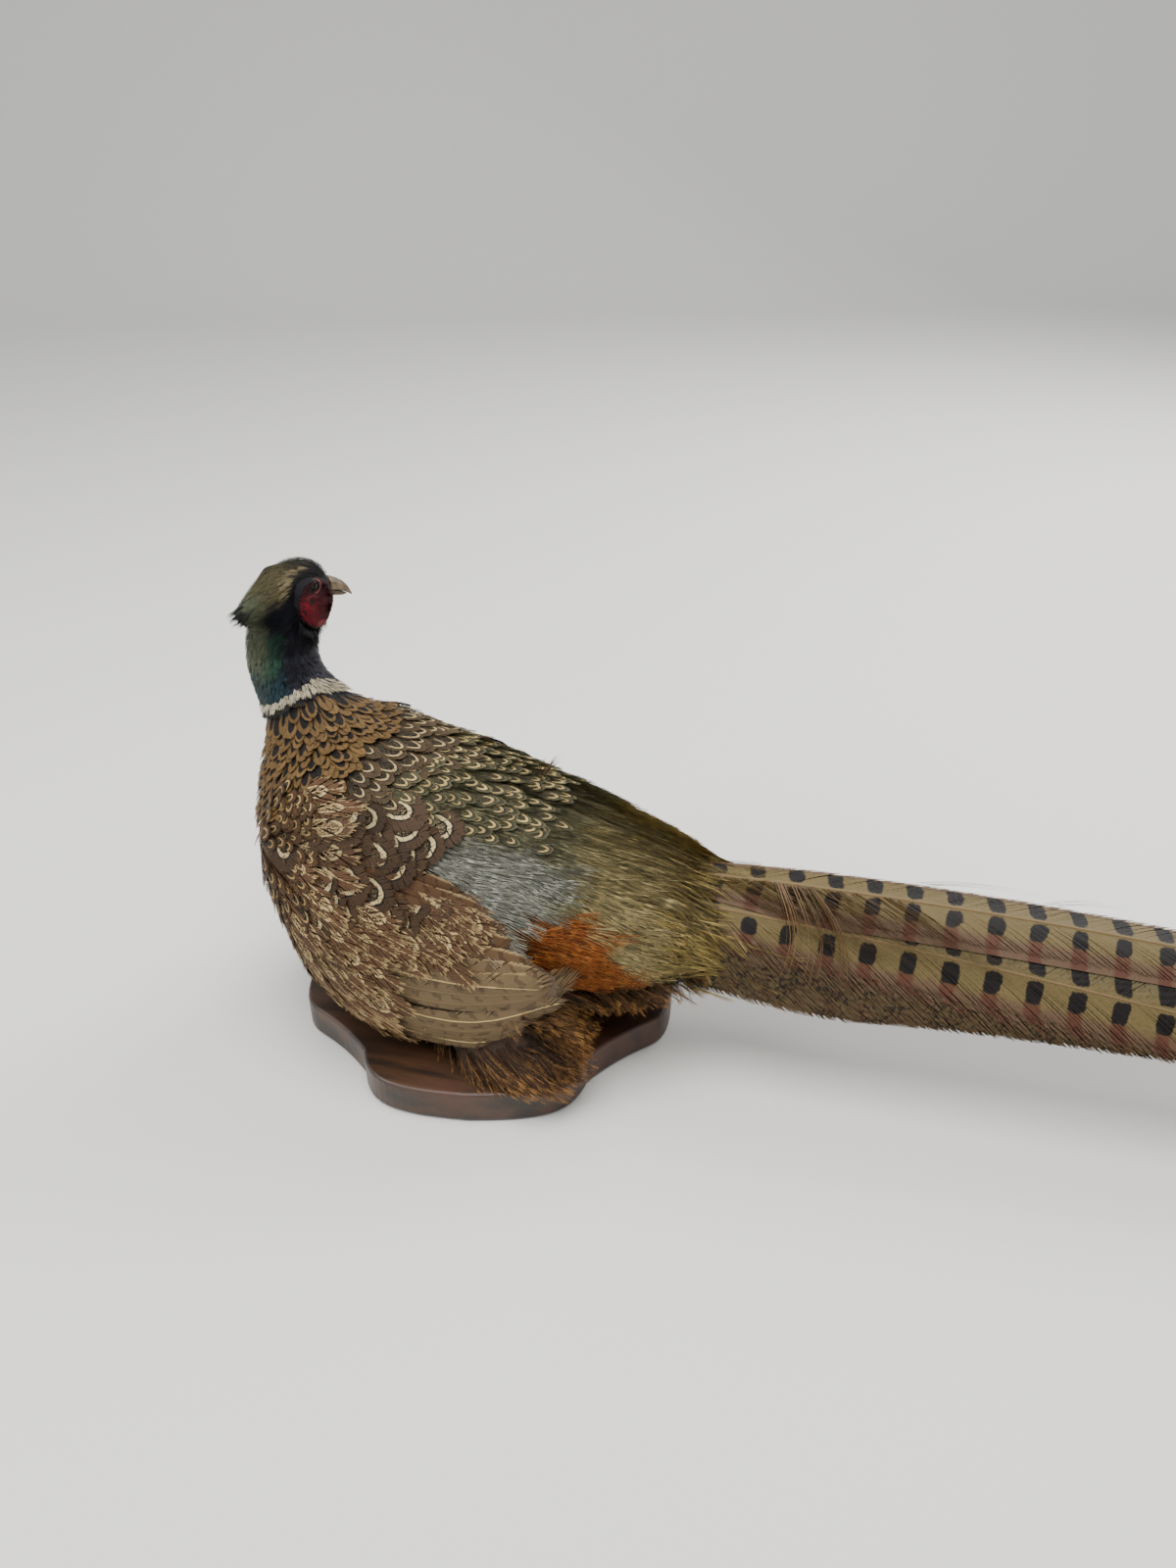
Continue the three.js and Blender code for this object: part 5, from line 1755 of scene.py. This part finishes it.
# %% The floor
floor_shape = bmesh.new()
bmesh.ops.create_grid(floor_shape, x_segments=1, y_segments=1, size=3.2)
far_edge = [edge for edge in floor_shape.edges if all(vert.co.y > 3 for vert in edge.verts)]
raised = bmesh.ops.extrude_edge_only(floor_shape, edges=far_edge)["geom"]
bmesh.ops.translate(floor_shape, verts=verts_of(raised), vec=(0, 0, 3.5))
bmesh.ops.bevel(floor_shape, geom=far_edge, offset=0.8, segments=12, profile=0.5, affect="EDGES", material=-1)
bmesh.ops.rotate(floor_shape, verts=floor_shape.verts, matrix=Matrix.Rotation(math.radians(15), 3, "Z"))
floor = keep(floor_shape, "floor")
shade_smooth(floor.data)
floor.location.z = -0.0005
floor_finish = Finish("pale floor", Roughness=0.9)
floor_finish.feed("Base Color", tone(214, 212, 206))
floor.data.materials.append(floor_finish.material)


# %% Lights
def lamp(name, at, aim, power, size, colour=(1, 1, 1)):
    """A square lamp of some watts that looks at its aim."""
    light = bpy.data.lights.new(name, "AREA")
    light.energy, light.size, light.color = power, size, colour
    made = bpy.data.objects.new(name, light)
    made.location = at
    made.rotation_mode = "QUATERNION"
    made.rotation_quaternion = (Vector(aim) - Vector(at)).to_track_quat("-Z", "Y")
    bpy.context.scene.collection.objects.link(made)


lamp("overhead", (0.1, -0.3, 1.9), (0.1, 0, 0.1), 46, 1.3, (1.0, 0.98, 0.95))
lamp("window side", (-1.3, -0.9, 1.2), (0, 0, 0.1), 18, 0.8, (0.95, 0.98, 1.0))
lamp("behind", (0.9, 1.3, 1.3), (0.1, 0, 0.1), 36, 1.0)
world = bpy.data.worlds.new("room")
world.use_nodes = True
world.node_tree.nodes["Background"].inputs[0].default_value = (0.9, 0.93, 1.0, 1)
world.node_tree.nodes["Background"].inputs[1].default_value = 0.8
bpy.context.scene.world = world

# %% [markdown]
# The camera looks down on the bird from its left rear, from half a metre over the floor.

# %% The camera
FOCAL_SHARE = 1240 / 1600  # the focal length as a share of the picture's height
camera_data = bpy.data.cameras.new("camera")
camera_data.sensor_width = 36
camera_data.lens = 36 * FOCAL_SHARE
camera = bpy.data.objects.new("camera", camera_data)
camera.location = (0.2161, -0.5663, 0.513)
camera.rotation_mode = "QUATERNION"
heading, pitch, roll = math.radians(15), math.radians(90 - 30.75), math.radians(-0.86)
aim = Matrix.Rotation(heading, 3, "Z") @ Matrix.Rotation(pitch, 3, "X") @ Matrix.Rotation(roll, 3, "Z")
camera.rotation_quaternion = aim.to_quaternion()
bpy.context.scene.collection.objects.link(camera)
bpy.context.scene.camera = camera
print("camera looks", np.round(camera.rotation_quaternion @ Vector((0, 0, -1)), 3))
